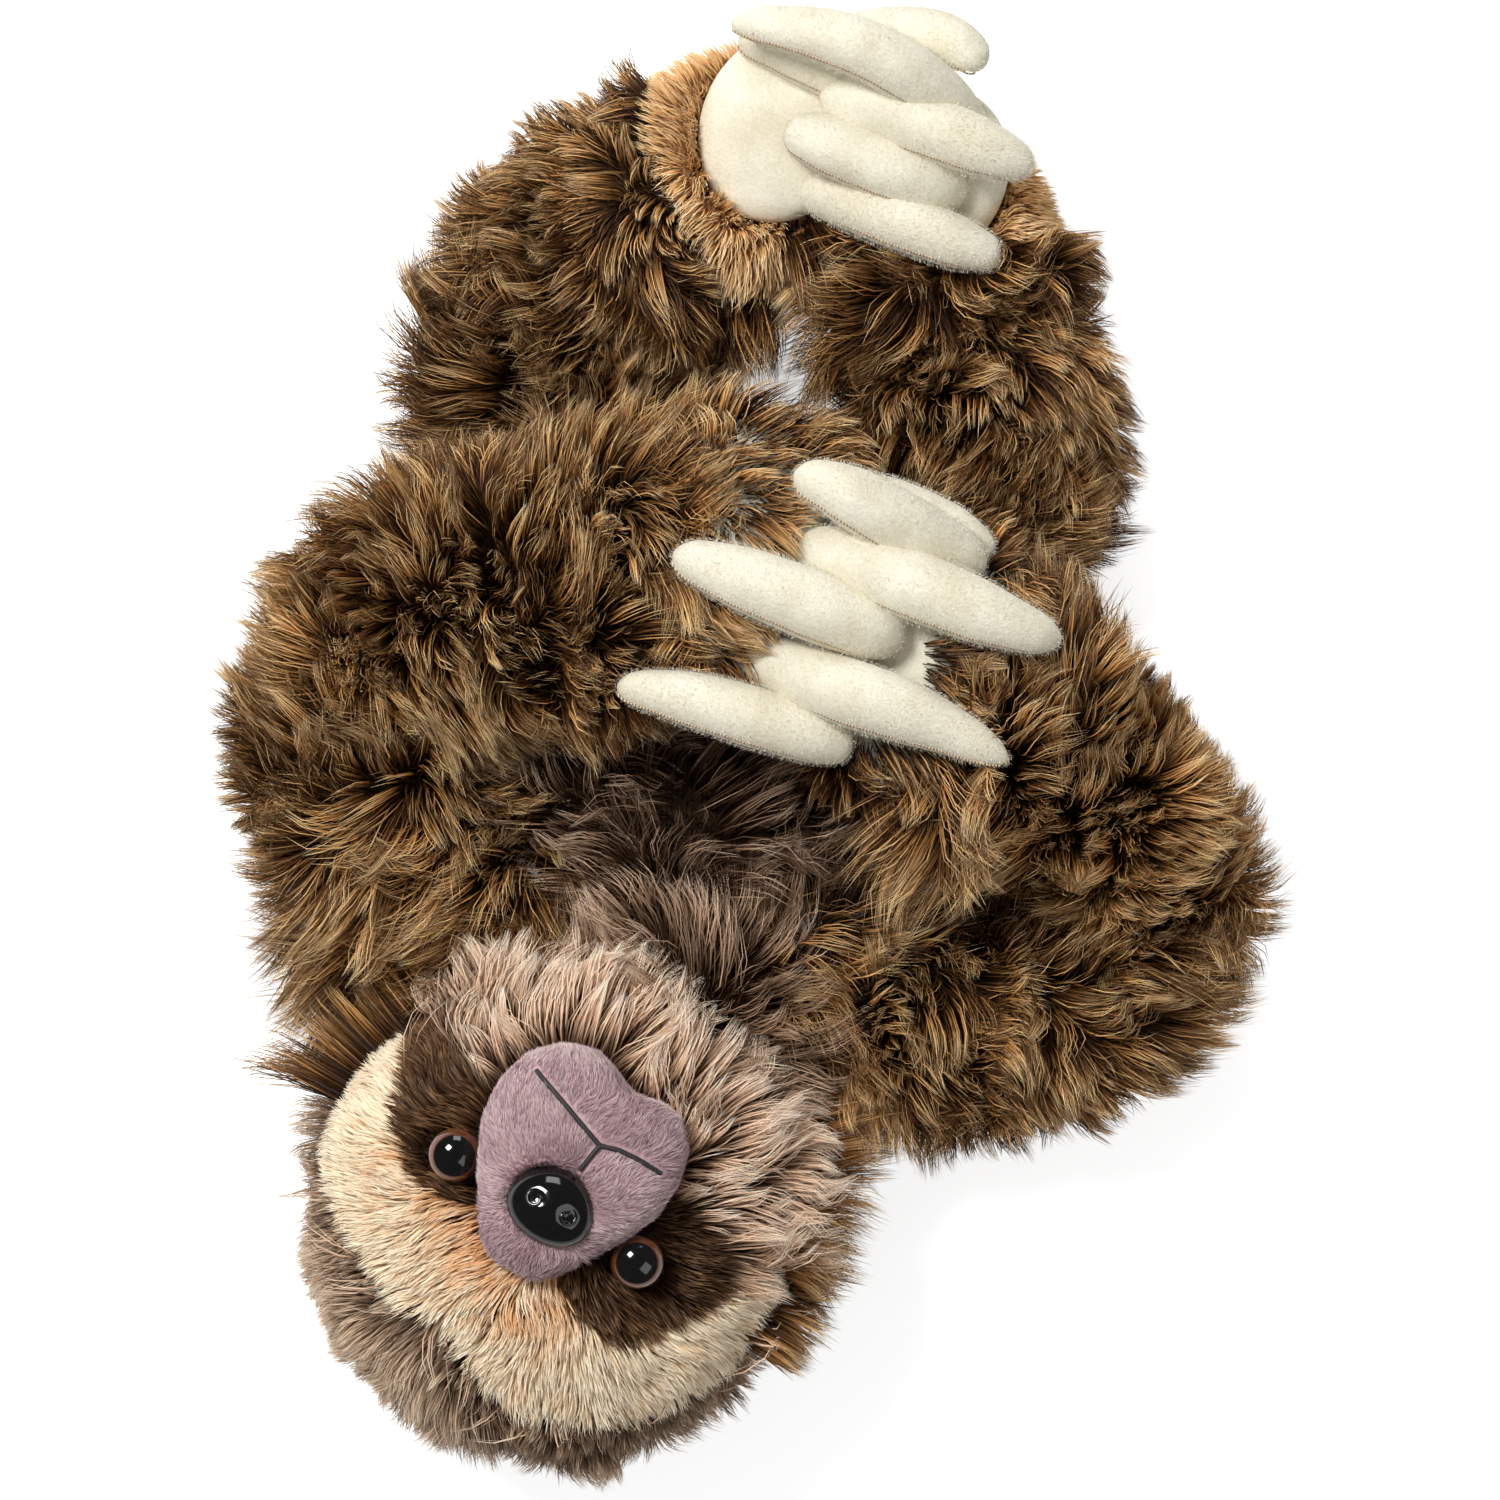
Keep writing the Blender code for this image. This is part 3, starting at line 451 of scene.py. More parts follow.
# How unlike in tone the fine locks, the coarse locks and the hairs are, and how much lighter a
# streak is.
WISP_TONES, LOCK_TONES, HAIR_TONES, STREAK_TONE = 0.14, 0.10, 0.16, 0.8
# How much a ribbon may turn about its run, and how wide it is at its root.
FACING_SPREAD, ROOT_WIDTH = 0.7, 0.7


def trim(path):
    """Hairs end where they meet a firm piece; those that start in one or stray are left out."""
    count, rows = path.shape[:2]
    free = np.full(count, rows - 1.0)
    for form, low, high in firm_pieces:
        for row in range(rows - 1, -1, -1):
            points = path[:, row]
            near = np.nonzero(((points > low) & (points < high)).all(axis=1))[0]
            for index in near:
                surface, normal = form.find_nearest(points[index])[:2]
                if (Vector(points[index]) - surface).dot(normal) < HAIR_CLEARANCE:
                    free[index] = row - STOP_SHORT
    sideways = path[:, :, :2]
    low, high = [np.array(corner[:2]) for corner in cad_box]
    in_reach = (sideways > low - PILE_REACH) & (sideways < high + PILE_REACH)
    kept = (free > SHORTEST_SHARE * (rows - 1)) & in_reach.all(axis=(1, 2))
    path, free = path[kept], free[kept]
    at = np.linspace(0, 1, rows)[None, :] * free[:, None]
    before = np.minimum(at.astype(int), rows - 2)
    share = (at - before)[:, :, None]
    line = np.arange(len(path))[:, None]
    return path[line, before] * (1 - share) + path[line, before + 1] * share, kept


def grow_pile(name, places, normals, comb, coat, seed, lengths=1.0, tones=0.0):
    """Hairs as thin ribbons that leave the skin steeply, lie over and gather into locks."""
    rng = default_rng(seed)
    count, steps = len(places), coat["steps"]
    comb = comb - normals * (comb * normals).sum(axis=1)[:, None]
    comb = unit(comb + rng.normal(scale=COMB_SPREAD, size=comb.shape))
    side = np.cross(normals, comb)
    swirl = coat["swirl"] * wander(places, coat["swirl_size"], seed)
    swirl += coat["ruffle"] * wander(places, coat["ruffle_size"], seed + 1)
    swirl += rng.normal(scale=coat["stray"], size=count)
    heading = comb * np.cos(swirl)[:, None] + side * np.sin(swirl)[:, None]
    bend = rng.normal(scale=coat["bend"], size=count)
    bend += coat["bend"] * 2 * wander(places, coat["ruffle_size"] * 1.5, seed + 2)
    length = coat["length"] * lengths * rng.uniform(coat["shortest"], LONGEST_SHARE, count)
    rise = 1 + coat["rise"] * wander(places, coat["ruffle_size"] * 1.2, seed + 3)
    rise *= rng.uniform(*RISE_SPREAD, count)
    rise *= 1 + coat["flare"] * (1 - normals[:, 2] ** 2)
    across = np.cross(normals, heading)
    path = [places]
    for step in range(steps):
        share = (step + 0.5) / steps
        angle = coat["lift_root"] + (coat["lift_tip"] - coat["lift_root"]) * share
        angle = np.minimum(angle * rise, STEEPEST)[:, None]
        turned = heading * np.cos(bend * share)[:, None] + across * np.sin(bend * share)[:, None]
        path.append(path[-1] + (turned * np.cos(angle) + normals * np.sin(angle))
                    * (length / steps)[:, None])
    path = np.stack(path, axis=1)
    # Locks: fine locks gather the hairs, and the fine locks lean into coarser ones.
    wisps = rng.choice(count, max(count // coat["wisp"], 1), replace=False)
    locks = rng.choice(wisps, max(count // coat["lock"], 1), replace=False)
    near_wisp = nearest_of(places, wisps)
    near_lock = nearest_of(places, locks)
    grip = rng.uniform(coat["grip"] * LOOSEST_SHARE, coat["grip"], count)[near_wisp]
    for step in range(1, steps + 1):
        share = (step / steps) ** GATHERING
        towards = path[near_lock, step] - path[:, step]
        path[:, step] += towards * (coat["lock_grip"] * share)
        path[:, step] += (path[near_wisp, step] - path[:, step]) * (grip * share)[:, None]
    path[:, :, 2] = np.maximum(path[:, :, 2], FLOOR_CLEARANCE)
    tone = coat["tone"] + coat["patchiness"] * wander(places, coat["swirl_size"] * 1.3, seed + 4)
    tone += rng.normal(scale=WISP_TONES, size=count)[near_wisp]
    tone += (rng.normal(scale=LOCK_TONES, size=count)[near_lock]
             + rng.normal(scale=HAIR_TONES, size=count))
    streaked = (rng.random(count) < coat["streaks"] * 0.5)[near_wisp]
    tone += STREAK_TONE * (streaked | (rng.random(count) < coat["streaks"] * 0.6))
    path, kept = trim(path)
    tone = np.clip(tone + tones, 0, 1)[kept]
    return ribbons(name, path, normals[kept], coat["width"], tone, rng)


def ribbons(name, path, normals, width, tones, rng):
    """One mesh of tapering ribbons; the UV map holds each hair's tone and the way to its tip."""
    count, rows = path.shape[:2]
    run = unit(np.gradient(path, axis=1))
    facing = normals + rng.normal(scale=FACING_SPREAD, size=normals.shape)
    across = unit(np.cross(run, facing[:, None, :]))
    share = np.linspace(0, 1, rows)
    half = width / 2 * np.minimum(ROOT_WIDTH + share, 1) * (1 - share ** 2)
    offset = across * half[None, :, None]
    body = np.stack((path - offset, path + offset), axis=2)[:, :-1]
    points = np.concatenate((body.reshape(count, -1, 3), path[:, -1:]), axis=1)
    each = points.shape[1]
    quads = [(2 * row, 2 * row + 1, 2 * row + 3, 2 * row + 2) for row in range(rows - 2)]
    tip = (2 * (rows - 2), 2 * (rows - 2) + 1, 2 * (rows - 1))
    pattern = np.array([corner for face in (*quads, tip) for corner in face], np.int32)
    starts = np.arange(rows - 1, dtype=np.int32) * 4
    first = np.arange(count, dtype=np.int32)
    mesh = bpy.data.meshes.new(name)
    mesh.vertices.add(count * each)
    mesh.vertices.foreach_set("co", points.astype(np.float32).reshape(-1))
    mesh.loops.add(count * len(pattern))
    mesh.loops.foreach_set("vertex_index", (first[:, None] * each + pattern).reshape(-1))
    mesh.polygons.add(count * (rows - 1))
    mesh.polygons.foreach_set("loop_start", (first[:, None] * len(pattern) + starts).reshape(-1))
    # Each hair has a narrow strip of the map, clear of the map's edges.
    strip, margin = 0.002, 0.01
    tone = margin + (1 - 2 * margin) * tones
    u = np.stack((tone - strip, tone + strip), axis=1)
    u = np.concatenate((np.tile(u, (1, rows - 1)), tone[:, None]), axis=1)
    v = np.concatenate((np.repeat(share[:-1], 2), [1])) * (1 - 2 * margin) + margin
    uv = np.stack((u, np.broadcast_to(v, u.shape)), axis=2)[:, pattern]
    layer = mesh.uv_layers.new(name="OFBake")
    layer.data.foreach_set("uv", np.clip(uv, 0, 1).astype(np.float32).reshape(-1))
    mesh.update(calc_edges=True)
    mesh.shade_smooth()
    return add_to_scene(name, mesh)


def dress(piece, finish, body, slot, *replaced, fill=None, firm=False):
    """Finish a piece, hang it on the body it rides and hide what it replaces; the slot and the
    filling are not used.
    """
    piece.data.materials.append(finish)
    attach(piece, body)
    if replaced:
        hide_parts(*replaced)
    if firm:
        corners = vectors(piece.data.vertices)
        firm_pieces.append((form_of(piece), corners.min(axis=0) - MM, corners.max(axis=0) + MM))


cream_velour = velour_material("cream_velour", (0.87, 0.83, 0.69), (0.70, 0.64, 0.48), 1400, 0.25)
cream_nap = pile_material(
    "cream_nap",
    ((0.0, (0.60, 0.54, 0.40)), (1.0, (0.80, 0.75, 0.61))),
    ((0.0, (0.80, 0.75, 0.61)), (1.0, (0.95, 0.92, 0.82))),
)
# The twist is painted into the colour: light plies with painted shade in the grooves between them.
tan_thread = textured(
    "tan_thread", {"Roughness": 0.7}, "ShaderNodeTexWave", {"Scale": 420},
    ((0.45, (0.22, 0.11, 0.045)), (0.7, (0.75, 0.64, 0.45))),
)

NAP_COAT = dict(
    length=0.9 * MM, steps=1, width=0.18 * MM, shortest=0.55, lift_root=1.0, lift_tip=1.0,
    rise=0.2, flare=0, swirl=0.3, swirl_size=18 * MM, ruffle=0.2, ruffle_size=6 * MM, stray=0.5,
    bend=0.1, wisp=6, lock=60, grip=0.2, lock_grip=0.0, patchiness=0.2, tone=0.5, streaks=0,
)
# How each claw lies against its solid, which is kept slim so that the claws can part: towards the
# right hand, aside and up, how much shorter at the tip and at the root, all in millimetres, and
# how full.
CLAW_FITS = {
    "left_hand": ((-3, -12, -14, 0, 0, 0.9), (-1, -0.5, 0, 1, 0, 1.0), (1, -1, 1, 2, 0, 0.97)),
    "right_hand": ((5, 0.5, 3, 0, 0, 0.95), (0.5, -0.5, 1, 2, 0, 1.0), (1, 0.5, 0, 4, 7, 0.86)),
    "left_foot": ((-6, -2, -2, 0, 0, 0.95), (0, 0.5, 0, 3, 0, 0.95), (1, 2.5, 0, 2, 0, 0.86)),
    "right_foot": ((3, -5.5, 0, 0, 0, 0.85), (0, 0, 0, 0, 0, 0.9), (0, 0, 0, 0, 0, 1.0)),
}
CLAW_FULLEST = 17 * MM
CLAW_SLICES, CLAW_STATIONS, CLAW_SIDES = 7, 26, 24
CLAW_HAIRS = 5000
# How full a claw is on its way from the root to the tip.
CLAW_WAY = (0, 0.2, 0.45, 0.7, 0.9, 1)
CLAW_SHARES = (0.62, 0.9, 1, 0.91, 0.62, 0.35)
# The rounded ends' lengths, as shares of the fullest width.
ROOT_CAP, TIP_CAP = 0.35, 0.3
NAP_LIFT = 0.3 * MM
THREAD_RADIUS, SEAM_DEPTH = 0.28 * MM, 0.99
SEAM_SIDE = -np.array(ALONG) * 0.88 + np.array((0, 0, 0.47))
claws = []


def make_claw(node, body, fit, seed):
    """A stuffed velour finger along its CAD node's own centre line, and the roots of its nap."""
    sign = 1 if node.startswith("left") else -1
    towards, aside, up, tip_cut, root_cut, fullness = fit
    shift = np.array(ACROSS) * towards + np.array(ALONG) * aside + np.array((0, 0, up))
    fullest = CLAW_FULLEST * fullness
    corners = vectors(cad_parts[node].data.vertices)
    reach = corners @ np.array(ACROSS) * sign
    low, high = reach.min(), reach.max()
    band = (high - low) / CLAW_SLICES
    stations = low + (high - low) * (np.arange(CLAW_SLICES) + 0.5) / CLAW_SLICES
    known, middles = [], []
    for station in stations:
        chosen = corners[np.abs(reach - station) < band * 0.75]
        if len(chosen):
            known.append(station)
            middles.append((chosen.min(axis=0) + chosen.max(axis=0)) / 2)
    curve = [np.polyfit(known, np.array(middles)[:, axis], 3) for axis in range(3)]
    share = (1 - np.cos(np.linspace(0, math.pi, CLAW_STATIONS))) / 2
    at = low + root_cut * MM + (high - low - (tip_cut + root_cut) * MM) * share
    line = np.stack([np.polyval(part, at) for part in curve], axis=1) + shift * MM
    full = np.interp(share, CLAW_WAY, CLAW_SHARES)
    for way, cap in ((share, ROOT_CAP), (1 - share, TIP_CAP)):
        inside = np.clip(1 - way / (fullest * cap / (high - low)), 0, 1)
        full = full * np.sqrt(np.clip(1 - inside ** 2, 0, 1))
    radii = np.maximum(full * fullest / 2, 0.2 * MM)
    claw = tube(node.replace("_claw_", "_velour_claw_"), line, radii, CLAW_SIDES)
    refine(claw, voxel=0.9 * MM, passes=4)
    dress(claw, cream_velour, body, "cream_velour", node, fill=0.9, firm=True)
    places, normals = scatter(claw, CLAW_HAIRS, default_rng(seed))
    comb = np.tile(np.array(ACROSS) * sign, (len(places), 1))
    claws.append((claw.name, body, line, radii, places, normals, comb, seed))


def make_claws(side_name, limb, body, first_seed):
    """The three claws of a hand or a foot."""
    for number, fit in enumerate(CLAW_FITS[f"{side_name}_{limb}"], 1):
        seed = first_seed + number + SIDES.index(side_name) * 3
        make_claw(f"{side_name}_{limb}_claw_{number}", body, fit, seed)


def finish_claw(name, body, line, radii, places, normals, comb, seed):
    """The claw's nap, and the row of stitches along its lower side."""
    nap = grow_pile(name + "_nap", places + normals * NAP_LIFT, normals, comb, NAP_COAT, seed)
    dress(nap, cream_nap, body, "cream_velour")
    seam = tube(name + "_seam", (line + SEAM_SIDE * radii[:, None] * SEAM_DEPTH)[2:-2],
                [THREAD_RADIUS] * (CLAW_STATIONS - 4), sides=8)
    dress(seam, tan_thread, body, "cream_velour")


for side_name in SIDES:
    palm = soft_copy(side_name + "_palm", side_name + "_palm_pad", voxel=2 * MM, swell=0.4 * MM)
    puff(palm, most=1.5 * MM)
    dress(palm, cream_velour, side_name + "_forearm", "cream_velour", side_name + "_palm",
          fill=0.7, firm=True)
for side_name in SIDES:
    make_claws(side_name, "hand", side_name + "_forearm", 80)

# Feet
# Cream velour soles let into tan cuffs, and three claws on each sole. The nap and the seams of all
# the claws come last, and no firm piece cuts that nap.
SOLE_WIDER, SOLE_LONGER, SOLE_SWELL = 1.04, 1.02, 1.5 * MM
# A cushion is fuller towards its rim and its faces than a ball.
RIM_FULLNESS, FACE_FULLNESS = 0.75, 0.8
for side_name in SIDES:
    body = side_name + "_shin"
    low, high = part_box(side_name + "_sole")
    sole = ball(side_name + "_sole_pad", 64, 32, 1)
    half_across = (high.x - low.x) / 2 * SOLE_WIDER
    half_along = (high.y - low.y) / 2 * SOLE_LONGER
    for vertex in sole.data.vertices:
        flat = Vector((vertex.co.x, vertex.co.y, 0))
        spread = max(flat.length, 1e-6)
        flat *= spread ** RIM_FULLNESS / spread
        rise = math.copysign(abs(vertex.co.z) ** FACE_FULLNESS, vertex.co.z)
        spot = ACROSS * flat.x * half_across + ALONG * flat.y * half_along
        spot.z = rise * ((high.z - low.z) / 2 + SOLE_SWELL)
        vertex.co = spot + (low + high) / 2
    refine(sole, voxel=1.5 * MM, passes=3)
    puff(sole, most=1.5 * MM)
    dress(sole, cream_velour, body, "cream_velour", side_name + "_sole", fill=0.7, firm=True)
    make_claws(side_name, "foot", body, 100)
firm_now, firm_pieces = firm_pieces, []
for claw in claws:
    finish_claw(*claw)
firm_pieces = firm_now

# Muzzle
# A domed pad of very short mauve pile, with the mouth stitched across it in black thread.
NOSE_PIXEL = (552, 1206)
nose_place = np.array(placed(NOSE_PIXEL, 104 * MM))
muzzle = soft_copy("muzzle", "muzzle_pad", voxel=1.4 * MM, swell=0.3 * MM, passes=10)
puff(muzzle, most=0.8 * MM)
MOUTH_LINES = {
    "mouth_thread_left": ((536, 1071), (560, 1098), (582, 1124), (600, 1145)),
    "mouth_thread_right": ((661, 1174), (640, 1160), (620, 1150), (600, 1145)),
    "mouth_thread_middle": ((600, 1145), (590, 1157), (580, 1170)),
}
MOUTH_DEPTH, MOUTH_SOFTNESS_PIXELS = 1.6 * MM, 14
LIP_DENT_PIXEL, LIP_DENT, LIP_DENT_PIXELS = (652, 1072), 4.5 * MM, 34
# The stitches pull the pad in along the mouth, and its rim dips in beside the upper lip.
corners = vectors(muzzle.data.vertices)
spots = pixels(corners)
gap = np.full(len(spots), 1e3)
for route in MOUTH_LINES.values():
    for start, end in zip(np.array(route[:-1], float), np.array(route[1:], float)):
        gap = np.minimum(gap, gap_to(spots, start, end))
upper = vectors(muzzle.data.vertices, "normal")[:, 2] > 0.1
corners[:, 2] -= MOUTH_DEPTH * np.exp(-(gap / MOUTH_SOFTNESS_PIXELS) ** 2) * upper
dent = nearness(spots, LIP_DENT_PIXEL, LIP_DENT_PIXELS)
corners[:, :2] += unit(nose_place[:2] - corners[:, :2]) * (LIP_DENT * dent)[:, None]
muzzle.data.vertices.foreach_set("co", corners.reshape(-1))
muzzle.data.update()
mauve_velour = velour_material("mauve_velour", (0.60, 0.40, 0.42), (0.38, 0.23, 0.25), 900, 0.3)
dress(muzzle, mauve_velour, "head", "muzzle_pile", "muzzle", fill=0.8)

MUZZLE_COAT = dict(
    NAP_COAT, length=2.6 * MM, width=0.34 * MM, lift_root=0.45, lift_tip=0.3, stray=0.2, wisp=5,
    grip=0.5,
)
mauve_fur = pile_material(
    "mauve_pile",
    ((0.0, (0.28, 0.15, 0.17)), (1.0, (0.52, 0.34, 0.36))),
    ((0.0, (0.45, 0.29, 0.31)), (1.0, (1.0, 0.84, 0.83))),
)
# The twist is painted into the colour: light plies with painted shade in the grooves between them.
black_thread = textured(
    "black_thread", {"Roughness": 0.6}, "ShaderNodeTexWave", {"Scale": 700},
    ((0.3, (0.006, 0.006, 0.007)), (0.8, (0.05, 0.045, 0.045))),
)
MOUTH_HEIGHT, MOUTH_THREAD_RADIUS, MOUTH_CLEARANCE_PIXELS = 112 * MM, 0.6 * MM, 5
STITCH_LIFT = Vector((0, 0, 0.5 * MM))
MUZZLE_HAIRS = 30000
muzzle_form = form_of(muzzle)
stitched = []
for thread_name, route in MOUTH_LINES.items():
    points = []
    for start, end in zip(route, route[1:]):
        for share in np.linspace(0, 1, 5)[: 5 if end == route[-1] else 4]:
            spot = (start[0] + (end[0] - start[0]) * share, start[1] + (end[1] - start[1]) * share)
            points.append(dropped(muzzle_form, placed(spot, MOUTH_HEIGHT)) + STITCH_LIFT)
            stitched.append(spot)
    stitch = tube(thread_name, points, [MOUTH_THREAD_RADIUS] * len(points), sides=8)
    dress(stitch, black_thread, "head", "muzzle_pile")
places, normals = scatter(
    muzzle, MUZZLE_HAIRS, default_rng(71), lambda middles, facing: facing[:, 2] > -0.1
)
spots = pixels(places)
clear = np.ones(len(places), bool)
for spot in stitched:
    clear &= np.linalg.norm(spots - spot, axis=1) > MOUTH_CLEARANCE_PIXELS
places, normals = places[clear], normals[clear]
nap = grow_pile("muzzle_nap", places, normals, unit(places - nose_place), MUZZLE_COAT, seed=72)
dress(nap, mauve_fur, "head", "muzzle_pile")

# Nose and eyes
# Polished safety fittings of moulded plastic, pushed through the fabric on their stems.
def plastic_material(name, colour, roughness, coat=1.0):
    """Moulded plastic with a faint orange peel under its polish."""
    return textured(
        name, {"Roughness": roughness, "Coat Weight": coat, "Coat Roughness": 0.05},
        "ShaderNodeTexNoise", {"Scale": 400},
        ((0.3, [part * 0.8 for part in colour]), (0.7, [part * 1.2 for part in colour])),
        strength=0.05, depth=0.2 * MM,
    )


black_plastic = plastic_material("black_moulded_plastic", (0.003, 0.003, 0.0034), 0.09, coat=0.4)
HEAD_TILT = math.radians(30.5)
SIDEWAYS = Vector((math.cos(HEAD_TILT), -math.sin(HEAD_TILT), 0))
TO_CROWN = Vector((-math.sin(HEAD_TILT), -math.cos(HEAD_TILT), 0))
NOSE_WIDTH, NOSE_LENGTH, NOSE_DEPTH = 21 * MM, 18 * MM, 13 * MM
# In shares of the nose: how much wider it gets towards the crown, the groove's depth and
# half-width, and the nostrils' distance from the middle, depth and radius.
NOSE_FLARE = 0.22
GROOVE_DEPTH, GROOVE_HALF_WIDTH = 0.10, 0.045
NOSTRIL_OFFSET, NOSTRIL_DEPTH, NOSTRIL_HOLLOW = 0.19, 0.09, 0.09
nose_middle = placed(NOSE_PIXEL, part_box("nose")[1].z - NOSE_DEPTH / 2)
nose = ball("nose_button", 96, 64, 0.5)
for vertex in nose.data.vertices:
    across, towards, up = vertex.co
    across *= 1 + NOSE_FLARE * towards
    groove = GROOVE_DEPTH * math.exp(-(across / GROOVE_HALF_WIDTH) ** 2)
    up -= groove * max(towards, -0.1) * max(up, 0)
    for nostril in (-NOSTRIL_OFFSET, NOSTRIL_OFFSET):
        away = math.hypot(across - nostril, towards + 0.02)
        up -= NOSTRIL_DEPTH * math.exp(-(away / NOSTRIL_HOLLOW) ** 2) * max(up, 0)
    spot = SIDEWAYS * across * NOSE_WIDTH + TO_CROWN * towards * NOSE_LENGTH
    vertex.co = spot + Vector((0, 0, up * NOSE_DEPTH)) + nose_middle
nose.data.shade_smooth()
nose_form = form_of(nose)
dress(nose, black_plastic, "head", "nose_plastic", "nose", firm=True)
# The moulded rim of each nostril turns on and curls in by a little at each of its points.
CURL_RADIUS, CURL_APART, CURL_POINTS = 2.3 * MM, 4.2 * MM, 33
CURL_START, CURL_TURN, CURL_IN, CURL_WIRE = -80, 11, 0.02, 0.5 * MM
for side_name, sign in zip(SIDES, (-1, 1)):
    middle = nose_middle + SIDEWAYS * sign * CURL_APART
    points = []
    for turn in range(CURL_POINTS):
        angle = math.radians(CURL_START + CURL_TURN * turn)
        radius = CURL_RADIUS * (1 - CURL_IN * turn)
        spot = middle + SIDEWAYS * sign * math.cos(angle) * radius
        points.append(dropped(nose_form, spot + TO_CROWN * math.sin(angle) * radius))
    taper = [CURL_WIRE * min(1, (turn + 2) / 8, (CURL_POINTS + 1 - turn) / 8)
             for turn in range(CURL_POINTS)]
    curl = tube(side_name + "_nostril_curl", points, taper, sides=10)
    dress(curl, black_plastic, "head", "nose_plastic")

EYE_PIXELS = ((455, 1155), (637, 1262))
EYE_DIAMETER, EYE_FLATNESS, PUPIL_SHARE = 12.5 * MM, 0.75, 0.39
iris_rim = plastic_material("amber_moulded_plastic", (0.12, 0.034, 0.012), 0.2)
for side_name, eye in zip(SIDES, EYE_PIXELS):
    middle = placed(eye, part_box(side_name + "_eye")[1].z - 4 * MM)
    bead = ball(side_name + "_eye_bead", 48, 32, EYE_DIAMETER / 2)
    for vertex in bead.data.vertices:
        vertex.co = Vector((vertex.co.x, vertex.co.y, vertex.co.z * EYE_FLATNESS)) + middle
    # The rim keeps the amber, and the pupil's part takes the black that follows.
    bead.data.materials.append(iris_rim)
    for polygon in bead.data.polygons:
        offset = polygon.center - middle
        if offset.z > 0 and math.hypot(offset.x, offset.y) < EYE_DIAMETER * PUPIL_SHARE:
            polygon.material_index = 1
    bead.data.shade_smooth()
    dress(bead, black_plastic, "head", "eye_plastic", side_name + "_eye")

nylon = plastic_material("natural_nylon", (0.75, 0.74, 0.70), 0.4, coat=0.0)
for washer in ("left_eye_washer", "right_eye_washer", "nose_washer"):
    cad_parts[washer].material_slots[0].material = nylon

# Torso
# A sleeve of long-haired fur fabric over stuffing. The backing is a dark knit, and the hairs are
# rooted in it: a short dark underfur, and long hairs that are dark at the root and golden at the
# tip. The strokes below say which way they lie, as the photograph shows it.
TORSO_HAIRS = 9000
TORSO_LINE = ((-4, -60, 36), (-2, -20, 28), (4, 10, 26), (9, 45, 20))
# A place and a direction in the photograph's pixels, how far the stroke reaches, and how much
# longer the hair is there.
STROKES = (
    (400, 330, -1, -0.45, 60, 0.9), (430, 240, -0.85, -0.6, 60, -0.35),
    (520, 150, -0.7, -0.75, 60, -0.35), (610, 90, -0.4, -0.9, 60, -0.3),
    (380, 430, -1, 0.2, 60, 1.3), (520, 330, -0.5, 0.5, 50, 0), (620, 350, -0.4, 0.8, 50, 0),
    (700, 320, 0.5, 0.8, 50, 0.1), (745, 350, 0.9, 0.2, 50, 0.6),
    (1100, 260, 0.6, -0.7, 60, -0.5), (1130, 400, 1, 0.1, 60, 0), (1110, 540, 0.9, 0.9, 60, 0.8),
    (1000, 300, 0.7, -0.5, 50, -0.1), (870, 320, -0.9, 0.3, 50, 0.6),
    (870, 430, -0.6, 0.6, 50, 0), (950, 450, 0.2, 0.9, 60, 0), (300, 510, -0.8, -0.6, 60, 1),
    (250, 620, -1, -0.1, 60, 0.25), (230, 760, -1, 0.1, 60, 0), (250, 870, -0.8, 0.6, 50, -0.3),
    (340, 910, -0.4, 0.9, 60, 0.6), (420, 930, 0, 1, 60, 0.8), (400, 850, 0.1, 1, 60, 0),
    (950, 700, 0.8, 0.6, 60, 0.2), (500, 790, 0.6, 0.7, 50, 0), (600, 730, 0.2, 1, 50, 0),
    (600, 440, 0.1, -1, 60, 0), (700, 450, 0.5, -0.8, 50, 0.1), (780, 450, -0.5, -0.3, 40, -0.4),
    (470, 480, -0.4, -0.8, 60, 0), (400, 600, -0.5, 0.3, 70, 0), (560, 600, 0.5, 0.5, 60, 0),
    (720, 560, 0.9, 0.2, 60, 0.15), (1150, 700, 0.6, -0.8, 60, -0.3),
    (1225, 780, 0.8, -0.5, 60, -0.35), (1270, 930, 1, 0.1, 60, 0.2),
    (1240, 1050, 0.8, 0.6, 60, 0.5), (1140, 1110, 0.3, 0.95, 60, 0), (1030, 1140, 0, 1, 60, -0.5),
    (930, 1140, -0.4, 0.9, 60, 0.1), (1000, 960, 0.7, 0.6, 60, 0), (1080, 860, 0.3, -0.7, 60, 0),
    (950, 810, -0.3, 1, 60, 0.6), (880, 880, -0.6, -0.6, 60, 0.4), (1060, 680, 0.5, -0.5, 50, 0),
    (340, 1010, -1, 0, 60, 1), (390, 960, -0.6, -0.8, 60, 1.2), (330, 1100, -1, 0.1, 50, 1.1),
    (310, 1290, -0.9, 0.5, 60, -0.3), (430, 1430, -0.5, 0.9, 70, 0.3),
    (800, 1020, 0.9, 0.3, 70, 0.6), (800, 1140, 1, 0.2, 70, 0.7), (790, 1260, 0.95, 0.4, 60, 0),
    (760, 1340, 0.8, 0.7, 50, -0.1), (700, 850, 0.1, -1, 70, 0.2), (800, 880, 0.5, -0.6, 60, 0.1),
    (560, 850, -0.3, -0.9, 60, 0.1), (770, 310, 0.7, 0.7, 40, 0), (840, 310, -0.8, 0.6, 40, 0),
    (1075, 650, 0.3, -0.9, 45, 0.5), (790, 410, 0, 0, 40, -1), (290, 960, -0.5, 0.5, 45, -0.5),
)


def brush(places, comb, weight):
    """Turn the comb to the strokes near each place; also how much longer the hair is there."""
    spots = pixels(places)
    comb, longer = comb.copy(), np.ones(len(places))
    for x, y, across, down, reach, extra in STROKES:
        near = nearness(spots, (x, y), reach)
        comb += near[:, None] * weight * np.array((across, -down, 0))
        longer += near * extra
    return unit(comb), longer


